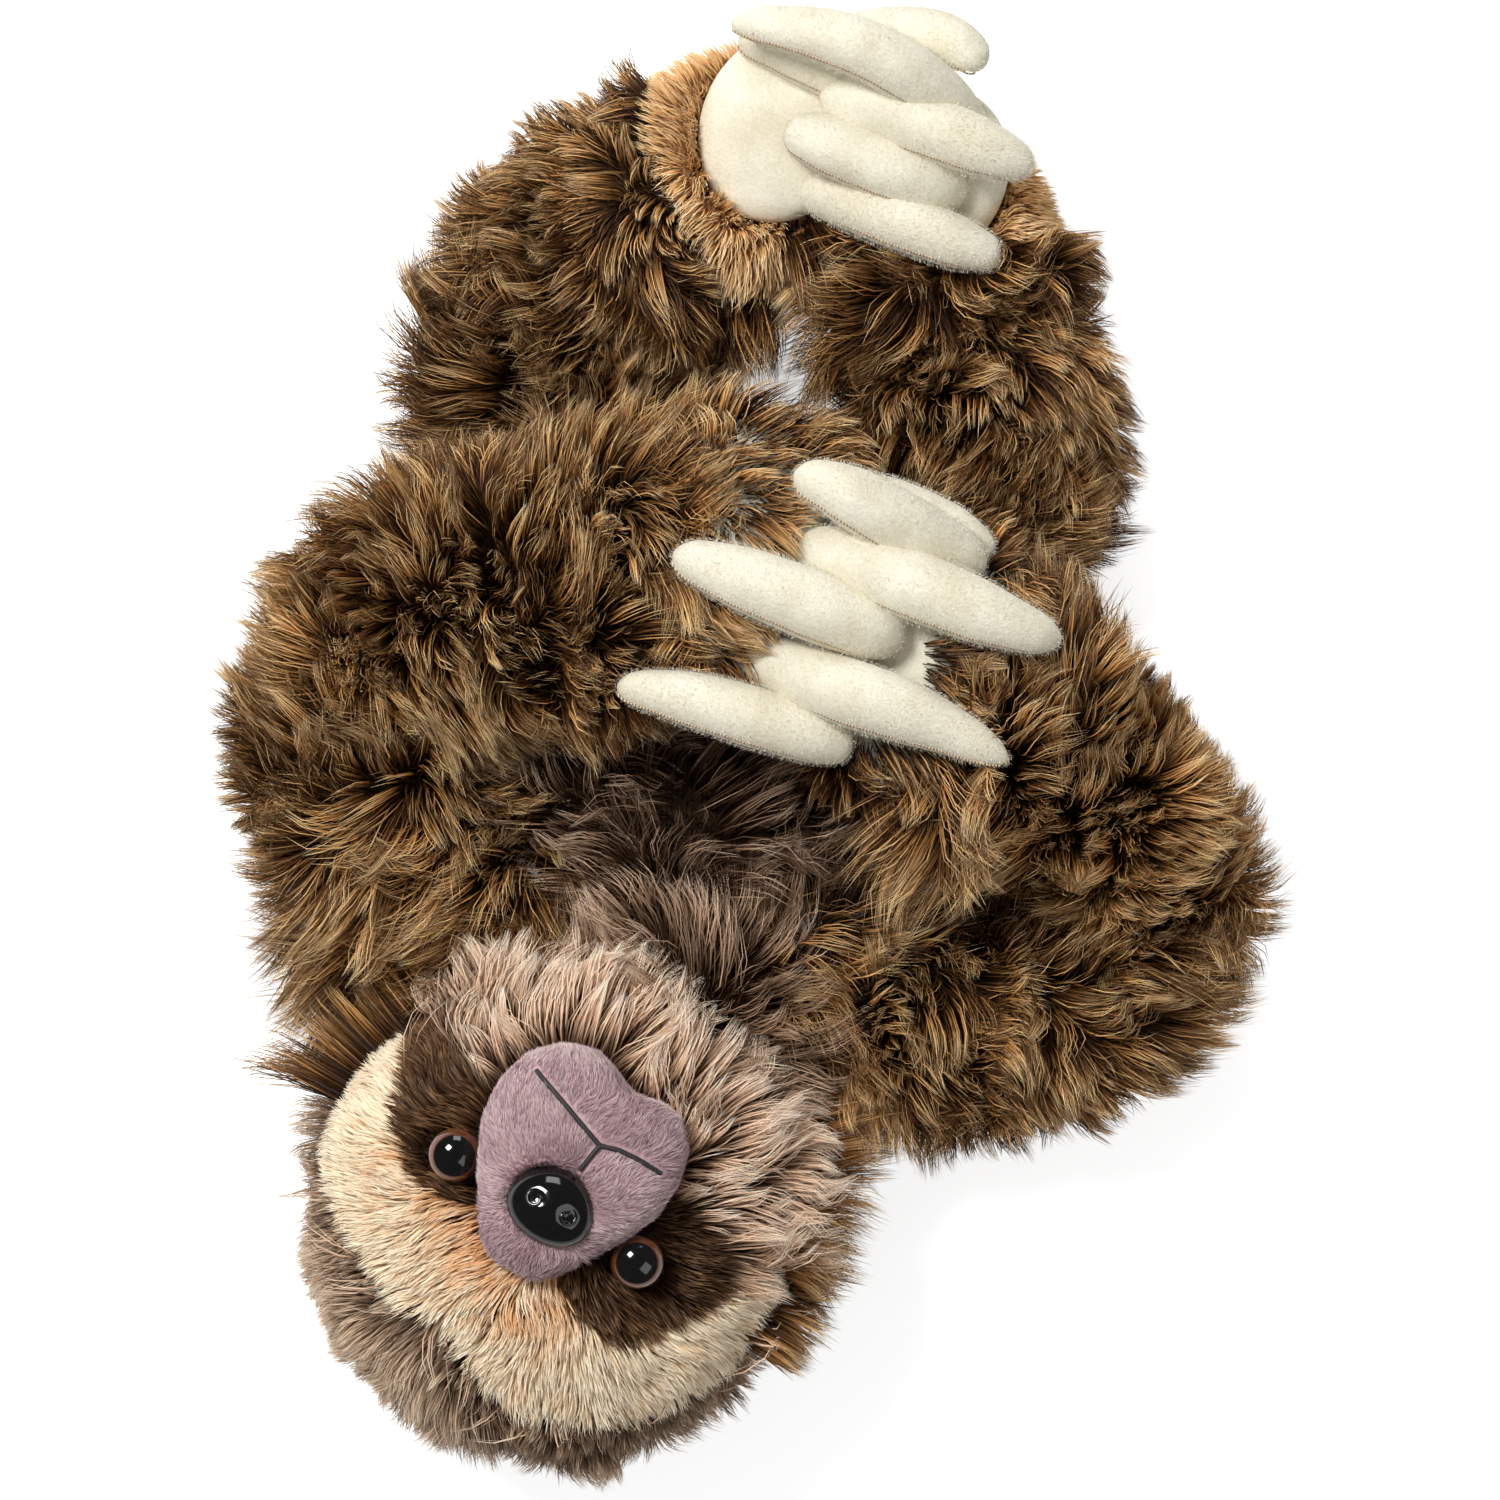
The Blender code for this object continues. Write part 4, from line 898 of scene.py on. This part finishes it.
def along_line(places, line):
    """The run of a centre line beside each place; the line's points are in millimetres."""
    points = np.array(line, float) * MM
    total = np.zeros_like(places)
    for start, end in zip(points, points[1:]):
        total += unit(end - start) / (gap_to(places, start, end)[:, None] ** 4 + 1e-9)
    return unit(total)


def knit_material(name, colour):
    """The backing of fur fabric: fine knitted ribs."""
    return textured(
        name, {"Roughness": 0.95, "Specular IOR Level": 0.1},
        "ShaderNodeTexWave", {"Scale": 260, "Distortion": 3},
        ((0.2, [part * 0.6 for part in colour]), (0.8, colour)), strength=0.4,
    )


SHAGGY = dict(
    length=24 * MM, steps=4, width=0.40 * MM, shortest=0.6, lift_root=1.3, lift_tip=0.4,
    rise=0.4, flare=0.45, swirl=0.5, swirl_size=70 * MM, ruffle=0.7, ruffle_size=19 * MM,
    stray=0.2, bend=0.55, wisp=15, lock=110, grip=0.9, lock_grip=0.4, patchiness=0.18, tone=0.12,
    streaks=0.34,
)
UNDERFUR = dict(
    SHAGGY, length=14 * MM, steps=2, width=0.5 * MM, stray=0.4, grip=0.4, lock_grip=0.1,
)
backing_knit = knit_material("dark_knit_backing", (0.045, 0.024, 0.013))
shaggy_fur = pile_material(
    "long_golden_brown_pile",
    ((0.0, (0.006, 0.0025, 0.001)), (0.45, (0.026, 0.009, 0.0025)), (0.8, (0.10, 0.038, 0.010)),
     (1.0, (0.22, 0.088, 0.025))),
    ((0.0, (0.015, 0.006, 0.002)), (0.3, (0.13, 0.050, 0.013)), (0.6, (0.70, 0.34, 0.11)),
     (0.85, (1.0, 0.70, 0.34)), (1.0, (1.0, 0.84, 0.56))),
)
underfur = pile_material(
    "short_dark_underfur",
    ((0.0, (0.006, 0.003, 0.001)), (1.0, (0.04, 0.018, 0.007))),
    ((0.0, (0.015, 0.007, 0.003)), (1.0, (0.14, 0.068, 0.026))),
)
# Painted shade and painted light in the hair's tone: darker in the creases between the limbs,
# where shade falls, and darker or lighter over some limbs as light falls on them. A place in
# pixels, how far it reaches, and by how much.
PAINTED_SHADE_AND_LIGHT = (
    (860, 905, 45, -0.45), (930, 925, 50, -0.45), (1010, 915, 45, -0.45), (860, 400, 45, -0.45),
    (470, 770, 40, -0.45), (1130, 790, 110, 0.5), (520, 600, 140, 0.2), (520, 320, 110, -0.12),
    (350, 800, 90, -0.06), (1100, 480, 90, -0.08),
)
COMB_WEIGHT, UNDERFUR_SHARE = 1.8, 0.5
CUFF_REACH, CLIPPED_SHARE = 18 * MM, 0.3
cuff_forms = [form_of(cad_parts[side_name + "_foot_cuff"]) for side_name in SIDES]


def furred(node, core, body, line, hairs, seed, keep=None, finish=shaggy_fur, coat=SHAGGY):
    """The backing, the underfur and the pile of one sleeve, rooted on its stuffing's form."""
    skin = soft_copy(core, node.replace("_fur", "_backing"), voxel=3.5 * MM, swell=1.2 * MM)
    dress(skin, backing_knit, body, "body_fur", node, fill=0.8)
    rng = default_rng(seed)
    for layer, share, style, fur in (("_underfur", UNDERFUR_SHARE, UNDERFUR, underfur),
                                     ("_pile", 1, coat, finish)):
        places, normals = scatter(skin, int(hairs * share), rng, keep)
        comb, longer = brush(places, along_line(places, line), COMB_WEIGHT)
        spots, shade = pixels(places), np.zeros(len(places))
        # Painted shade in the creases and painted light over the limbs, added to the hair's tone.
        for x, y, reach, change in PAINTED_SHADE_AND_LIGHT:
            shade += change * nearness(spots, (x, y), reach)
        if "shin" in node:
            # The hair is clipped shorter towards the cuff, so that the cuff shows.
            gaps = [min(cuff.find_nearest(place)[3] for cuff in cuff_forms) for place in places]
            above = normals[:, 2] > 0
            longer[above] *= np.clip(np.array(gaps) / CUFF_REACH, CLIPPED_SHARE, 1)[above]
        pile = grow_pile(
            node.replace("_fur", layer), places, normals, comb, style, seed, lengths=longer,
            tones=shade,
        )
        dress(pile, fur, body, "body_fur")
    return skin


# Skin that faces further down than this lies on the table.
DOWNWARDS = -0.5


def above_table(middles, facing):
    """Fewer hairs grow where the toy lies on them."""
    return np.where(facing[:, 2] < DOWNWARDS, 0.2, 1.0)


taupe_fur = pile_material(
    "long_taupe_pile",
    ((0.0, (0.008, 0.004, 0.002)), (0.5, (0.035, 0.015, 0.007)), (1.0, (0.16, 0.085, 0.045))),
    ((0.0, (0.02, 0.010, 0.006)), (0.35, (0.15, 0.078, 0.042)), (0.65, (0.60, 0.38, 0.24)),
     (1.0, (1.0, 0.77, 0.57))),
)
torso_backing = furred(
    "torso_fur", "torso_stuffing", "torso", TORSO_LINE, TORSO_HAIRS, seed=11,
    keep=above_table, finish=taupe_fur,
)

# Arms and legs
# Four sleeves of the same fur, each in two lengths that meet at the elbow or the knee. For each
# length: its body, its centre line in millimetres and its number of hairs.
SLEEVES = (
    ("left_upper_arm", "torso", ((-29, -39, 28), (-53, -37, 28), (-73, -26, 29), (-79, -10, 30),
                                 (-76, 5, 30)), 18000),
    ("right_upper_arm", "torso", ((20, -48, 28), (44, -64, 28), (70, -74, 29), (95, -62, 30),
                                  (103, -48, 30)), 19000),
    ("left_forearm", "left_forearm", ((-76, 5, 30), (-71, 15, 39), (-56, 26, 57), (-30, 32, 71),
                                      (1, 40, 77)), 21000),
    ("right_forearm", "right_forearm", ((103, -48, 30), (104, -36, 39), (97, -21, 55),
                                        (82, -10, 68), (66, 3, 76)), 18000),
    ("left_thigh", "torso", ((-15, 48, 21), (-28, 65, 23), (-34, 76, 27), (-30, 98, 31)), 13000),
    ("right_thigh", "torso", ((24, 28, 20), (42, 36, 22), (58, 46, 24), (68, 64, 30)), 13000),
    ("left_shin", "left_shin", ((-1, 124, 41), (-15, 117, 36), (-26, 107, 32), (-30, 98, 31)),
     14000),
    ("right_shin", "right_shin", ((67, 101, 40), (69, 89, 35), (70, 74, 31), (68, 64, 30)), 13000),
)
# A sleeve's flat end faces along its hinge's axis at least this squarely and lies this near to
# it, and where a sleeve is sewn on it lies this near to the torso.
HINGE_FACING, HINGE_REACH, SEAM_REACH = 0.93, 5 * MM, 6 * MM
torso_skin = form_of(torso_backing)


def on_sleeve(line):
    """No hair on a sleeve's end at its hinge, nor where it is sewn to the torso."""
    hinge = np.array(ALONG)
    ends = [np.array(place) @ hinge * MM for place in (line[0], line[-1])]

    def keep(middles, facing):
        wanted = np.where(facing[:, 2] < DOWNWARDS, 0.25, 1.0)
        across = middles @ hinge
        near = np.min([np.abs(across - end) for end in ends], axis=0) < HINGE_REACH
        wanted[near & (np.abs(facing @ hinge) > HINGE_FACING)] = 0
        sewn = [torso_skin.find_nearest(middle)[3] < SEAM_REACH for middle in middles]
        wanted[np.array(sewn)] = 0
        return wanted

    return keep


for number, (sleeve, body, line, hairs) in enumerate(SLEEVES):
    furred(
        sleeve + "_fur", sleeve + "_stuffing", body, line, hairs, seed=20 + number,
        keep=on_sleeve(line),
    )

# Wrists
# The sleeve's fur carries on over the back of each palm, up to where the claws are sewn on.
WRIST_HAIRS = 9000
WRIST_COAT = dict(SHAGGY, length=17 * MM, lift_root=1.0, lift_tip=0.1)
for side_name in SIDES:
    palm = bpy.data.objects[side_name + "_palm_pad"]
    places, normals = scatter(palm, WRIST_HAIRS, default_rng(110 + len(side_name)))
    x, y = pixels(places).T
    # The outer part of each palm, in the photograph's pixels.
    covered = (x < 785) | (y < 475) if side_name == "left" else (x > 922) | (y > 735)
    covered &= normals[:, 2] > DOWNWARDS
    places, normals = places[covered] + normals[covered] * 0.5 * MM, normals[covered]
    comb = np.tile(np.array(ACROSS), (len(places), 1))
    pile = grow_pile(
        side_name + "_wrist_pile", places, normals, comb, WRIST_COAT, seed=len(side_name),
    )
    dress(pile, shaggy_fur, side_name + "_forearm", "body_fur")

# Cuffs
# Short tan fur that closes each leg behind the sole, brushed back from it.
TAN_COAT = dict(
    SHAGGY, length=8 * MM, steps=3, lift_root=1.1, lift_tip=0.45, swirl=0.25, ruffle=0.35,
    ruffle_size=11 * MM, wisp=6, lock=80, grip=0.3, lock_grip=0.15, rise=0.2, tone=0.75,
    streaks=0.3, bend=0.2,
)
tan_fur = pile_material(
    "short_tan_pile",
    ((0.0, (0.16, 0.06, 0.016)), (0.4, (0.55, 0.27, 0.08)), (1.0, (0.90, 0.54, 0.22))),
    ((0.0, (0.32, 0.14, 0.04)), (0.4, (0.98, 0.61, 0.26)), (1.0, (1.0, 0.86, 0.56))),
)
tan_knit = knit_material("tan_knit_backing", (0.28, 0.13, 0.06))
CUFF_HAIRS, MOUTH_SPREAD = 14000, 1.12
for side_name in SIDES:
    body = side_name + "_shin"
    cuff = soft_copy(
        side_name + "_foot_cuff", side_name + "_cuff_backing", voxel=2.5 * MM, swell=-0.5 * MM
    )
    dress(cuff, tan_knit, body, "tan_fur", side_name + "_foot_cuff", fill=0.8)
    low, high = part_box(side_name + "_sole")
    # The cuff's mouth closes under the sole, clear of its rim.
    for vertex in cuff.data.vertices:
        offset = (vertex.co - (low + high) / 2) * 2
        spread = math.hypot(offset.dot(ACROSS) / (high.x - low.x),
                            offset.dot(ALONG) / (high.y - low.y))
        if spread < MOUTH_SPREAD:
            vertex.co.z = min(vertex.co.z, low.z + 4 * MM)
    middle = np.array((low + high) / 2)
    places, normals = scatter(cuff, CUFF_HAIRS, default_rng(90 + len(side_name)))
    comb = unit(places - middle + np.array((0, 0, 5 * MM)))
    # Towards the other foot the long brown fur of the legs comes up to the soles.
    x, y = pixels(places).T
    if side_name == "left":
        tan = (x > 655) & (x < 785) & (y < 285)
        longest = 1
    else:
        tan = (y <= 240) & ((x >= 975) | (y <= 225))
        longest = np.clip(y / 280, 0.35, 0.7)
    stroked, longer = brush(places, comb, 1.0)
    for pile_name, region, coat, finish, slot_name, lengths in (
        ("_cuff_pile", tan, TAN_COAT, tan_fur, "tan_fur", np.clip(longer, 0.6, 1.1) * longest),
        ("_cuff_long_pile", ~tan, SHAGGY, shaggy_fur, "body_fur", longer),
    ):
        pile = grow_pile(
            side_name + pile_name, places[region], normals[region], stroked[region], coat,
            seed=92 + len(side_name), lengths=lengths[region],
        )
        dress(pile, finish, body, slot_name)

# Neck
# A lightly filled ball of the fur between the torso and the head, brushed up over the chest.
NECK_HAIRS = 7000
NECK_LINE = ((-6, -90, 44), (-3, -60, 50))
RUFF_COAT = dict(SHAGGY, tone=0.5, streaks=0.45, wisp=16, grip=0.9)
furred(
    "neck_fur", "neck_fur", "neck", NECK_LINE, NECK_HAIRS, seed=40, finish=taupe_fur,
    coat=RUFF_COAT,
)

# Head
# A stuffed egg. Its fur is shorter than the body's, taupe with pale frosted tips round the
# muzzle, grey-brown over the crown, and combed away from the nose.
def within(points, outline):
    """Which points lie inside a closed outline."""
    inside = np.zeros(len(points), bool)
    for (x0, y0), (x1, y1) in zip(outline, outline[1:] + outline[:1]):
        if y0 == y1:
            continue
        crossing = (points[:, 1] < y0) != (points[:, 1] < y1)
        at = x0 + (points[:, 1] - y0) * (x1 - x0) / (y1 - y0)
        inside ^= crossing & (points[:, 0] < at)
    return inside


head_backing = soft_copy(
    "head_stuffing", "head_backing", voxel=3.5 * MM, swell=2.5 * MM, passes=12
)
dress(head_backing, backing_knit, "head", "head_fur", "head_fur", fill=0.9)

# Outlines on the face, in the photograph's pixels.
BROW_RIM = [
    (415, 1014), (385, 1030), (355, 1080), (338, 1132), (336, 1186), (352, 1232), (374, 1273),
    (400, 1308), (436, 1322), (452, 1342), (485, 1385), (519, 1410), (562, 1420), (622, 1416),
    (684, 1393), (722, 1362), (745, 1322), (770, 1285),
]
BROW_INNER = [
    (767, 1268), (726, 1296), (684, 1327), (643, 1348), (602, 1346), (572, 1319), (558, 1288),
    (545, 1255), (494, 1240), (478, 1212), (436, 1200), (398, 1169), (392, 1107), (410, 1057),
    (424, 1030),
]
LEFT_PATCH = [
    (424, 1020), (410, 1057), (392, 1107), (398, 1169), (436, 1200), (490, 1215), (488, 1100),
    (475, 1070), (455, 1045), (440, 1018),
]
RIGHT_PATCH = [
    (550, 1262), (558, 1288), (572, 1319), (602, 1346), (643, 1350), (684, 1327), (720, 1298),
    (722, 1262), (708, 1235), (690, 1212), (672, 1200), (655, 1205), (600, 1240),
]
FACE_RIM = [
    (767, 1275), (778, 1240), (785, 1205), (790, 1150), (785, 1090), (765, 1030), (735, 980),
    (690, 930), (620, 895), (560, 890), (495, 905), (440, 945), (420, 985),
]
MUZZLE_RIM = [
    (571, 1055), (527, 1070), (498, 1085), (482, 1132), (480, 1205), (498, 1250), (525, 1264),
    (560, 1262), (602, 1246), (640, 1226), (664, 1203), (672, 1168), (670, 1140), (655, 1115),
    (632, 1098), (604, 1064),
]
EYE_CLEARANCE_PIXELS = 25

FROSTED = dict(
    SHAGGY, length=17 * MM, steps=3, width=0.36 * MM, lift_root=1.15, lift_tip=0.1, swirl=0.2,
    swirl_size=45 * MM, ruffle=0.22, ruffle_size=14 * MM, bend=0.2, wisp=10, lock=70, grip=0.7,
    lock_grip=0.2, rise=0.2, flare=0.2, tone=0.5, streaks=0.1,
)
CHIN_COAT = dict(
    FROSTED, length=23 * MM, steps=4, lift_root=1.3, lift_tip=0.3, swirl=0.35, ruffle=0.55,
    ruffle_size=15 * MM, bend=0.5, wisp=14, lock=60, grip=0.95, lock_grip=0.4, rise=0.4,
    tone=0.75, streaks=0.65, width=0.42 * MM,
)
CROWN_COAT = dict(
    FROSTED, length=15 * MM, lift_root=1.15, lift_tip=0.35, swirl=0.15, ruffle=0.35, streaks=0.25,
    grip=0.8, tone=0.4,
)
CHEEK_COAT = dict(
    FROSTED, length=25 * MM, steps=4, lift_root=1.25, lift_tip=0.4, width=0.40 * MM, grip=0.8,
    flare=0.6, swirl=0.35, tone=0.35, streaks=0.2,
)
BROW_COAT = dict(
    FROSTED, length=8.5 * MM, width=0.5 * MM, lift_root=1.2, lift_tip=0.15, swirl=0.1,
    ruffle=0.15, grip=0.25, patchiness=0.1, shortest=0.8, bend=0.15, tone=0.6,
)
PATCH_COAT = dict(
    BROW_COAT, length=7.5 * MM, lift_root=1.0, lift_tip=0.3, tone=0.35, streaks=0.2, ruffle=0.3
)

frosted_fur = pile_material(
    "frosted_taupe_pile",
    ((0.0, (0.010, 0.005, 0.003)), (0.45, (0.045, 0.020, 0.009)), (0.8, (0.17, 0.090, 0.048)),
     (1.0, (0.52, 0.34, 0.21))),
    ((0.0, (0.03, 0.016, 0.009)), (0.3, (0.24, 0.135, 0.078)), (0.55, (0.84, 0.57, 0.38)),
     (0.8, (1.0, 0.80, 0.61)), (1.0, (1.0, 0.92, 0.80))),
)
crown_fur = pile_material(
    "grey_brown_pile",
    ((0.0, (0.016, 0.009, 0.005)), (0.5, (0.10, 0.055, 0.030)), (1.0, (0.40, 0.255, 0.155))),
    ((0.0, (0.03, 0.018, 0.011)), (0.4, (0.30, 0.18, 0.105)), (0.7, (0.82, 0.60, 0.41)),
     (1.0, (1.0, 0.87, 0.70))),
)
cream_fur = pile_material(
    "cream_pile",
    ((0.0, (0.45, 0.19, 0.06)), (0.4, (0.80, 0.40, 0.15)), (1.0, (1.0, 0.63, 0.33))),
    ((0.0, (0.88, 0.53, 0.26)), (0.3, (1.0, 0.80, 0.53)), (1.0, (1.0, 0.93, 0.76))),
)
patch_fur = pile_material(
    "short_dark_pile",
    ((0.0, (0.010, 0.005, 0.003)), (1.0, (0.055, 0.023, 0.009))),
    ((0.0, (0.03, 0.015, 0.007)), (0.6, (0.13, 0.060, 0.024)), (1.0, (0.42, 0.23, 0.11))),
)

HEAD_HAIRS = 60000
SPARSE_SHARE = 0.35
CROWNWARDS = np.array((-0.5075, -0.8616, 0))
HEAD_MIDDLE = np.array((-30, -116, 52)) * MM
# How far back from the head's middle the crown's hair starts.
THROAT_REACH = 8 * MM
# The rim of the brow's shadow on the crown is the brow's own, this much larger.
LEE_SHARE = 1.1
# How far from the nose the brow's brown and the chin's clipping reach and fade, in pixels.
BROWN_UP_TO, BROW_FADE = 80, 65
CLIPPED_UP_TO, CHIN_FADE = 60, 110
rng = default_rng(50)
places, normals = scatter(head_backing, HEAD_HAIRS, rng, above_table)
away = unit(places - nose_place)
# Away from the nose over the face, and then back over the head towards the table.
comb = away + np.array((0, 0, 0.1))
sliding = unit(comb - normals * (comb * normals).sum(axis=1)[:, None])
front = normals[:, 2] > 0.02


def shown(outline, slide, blend=0.0):
    """Roots whose hair shows inside an outline, since it slides over; its rim may blend."""
    slides = slide + blend * np.clip(rng.normal(size=(len(places), 1)), -1.5, 1.5)
    return front & within(pixels(places + sliding * slides), outline)


bald = shown(MUZZLE_RIM, 1 * MM)
for eye in EYE_PIXELS:
    for slide in (0, 2 * MM, 4 * MM, 6 * MM):
        spots = pixels(places + sliding * slide)
        bald |= front & (np.linalg.norm(spots - eye, axis=1) < EYE_CLEARANCE_PIXELS)
brow = shown(BROW_RIM + BROW_INNER, 4.5 * MM, 0.6 * MM) & ~bald
patches = shown(LEFT_PATCH, 3 * MM, 1.5 * MM) | shown(RIGHT_PATCH, 3 * MM, 1.5 * MM)
patches &= ~bald & ~brow
face = shown(BROW_RIM + FACE_RIM, 8 * MM, 4 * MM) & ~bald & ~patches & ~brow
crown = ~(bald | patches | brow | face)
face &= rng.random(len(places)) >= SPARSE_SHARE
throat = crown & ((places - HEAD_MIDDLE) @ CROWNWARDS < THROAT_REACH)
crown &= ~throat
# The brow is cream along its outer rim and orange-brown towards the nose.
from_nose = np.linalg.norm(pixels(places) - NOSE_PIXEL, axis=1)
brow_tone = np.clip((from_nose - BROWN_UP_TO) / BROW_FADE, 0, 1) * 0.9 - 0.5
# The crown's hair lies low in the lee of the brow, and is darker there: a painted shadow of the
# brow.
brow_shadow_rim = [(NOSE_PIXEL[0] + (x - NOSE_PIXEL[0]) * LEE_SHARE,
            NOSE_PIXEL[1] + (y - NOSE_PIXEL[1]) * LEE_SHARE) for x, y in BROW_RIM]
painted_brow_shadow = crown & shown(brow_shadow_rim + BROW_INNER, 4.5 * MM)
# The chin's hair is clipped short round the muzzle.
clipped = np.clip((from_nose - CLIPPED_UP_TO) / CHIN_FADE, 0.35, 1)
stroked, longer = brush(places, comb, 0.8)
even, plain = np.ones(len(places)), np.zeros(len(places))
for pile_name, region, coat, finish, slot_name, lengths, tones, *replaced in (
    ("chin_pile", face, CHIN_COAT, frosted_fur, "head_fur", clipped, plain),
    # In the brow's painted shadow the crown's hair is shorter, and darker as painted shade.
    ("crown_pile", crown, CROWN_COAT, crown_fur, "head_fur", np.where(painted_brow_shadow, longer * 0.6, longer),
     painted_brow_shadow * -0.6),
    ("throat_pile", throat, CHEEK_COAT, shaggy_fur, "head_fur", longer, plain),
    ("brow_pile", brow, BROW_COAT, cream_fur, "brow_fur", even, brow_tone, "brow_band"),
    ("eye_patch_pile", patches, PATCH_COAT, patch_fur, "eye_patch_fur", even, plain,
     "left_eye_patch", "right_eye_patch"),
):
    pile = grow_pile(
        pile_name, places[region], normals[region], stroked[region], coat,
        seed=60 + len(pile_name), lengths=lengths[region], tones=tones[region],
    )
    dress(pile, finish, "head", slot_name, *replaced)

# Stuffing
# Loose white fibre, which fills every sleeve and the head.
fibre = textured(
    "polyester_fibre", {"Roughness": 1, "Specular IOR Level": 0.1},
    "ShaderNodeTexNoise", {"Scale": 120, "Detail": 8},
    ((0.3, (0.72, 0.72, 0.70)), (0.7, (0.92, 0.92, 0.90))), strength=0.8, depth=0.8 * MM,
)
for node_name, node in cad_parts.items():
    if node_name.endswith("_stuffing"):
        node.material_slots[0].material = fibre
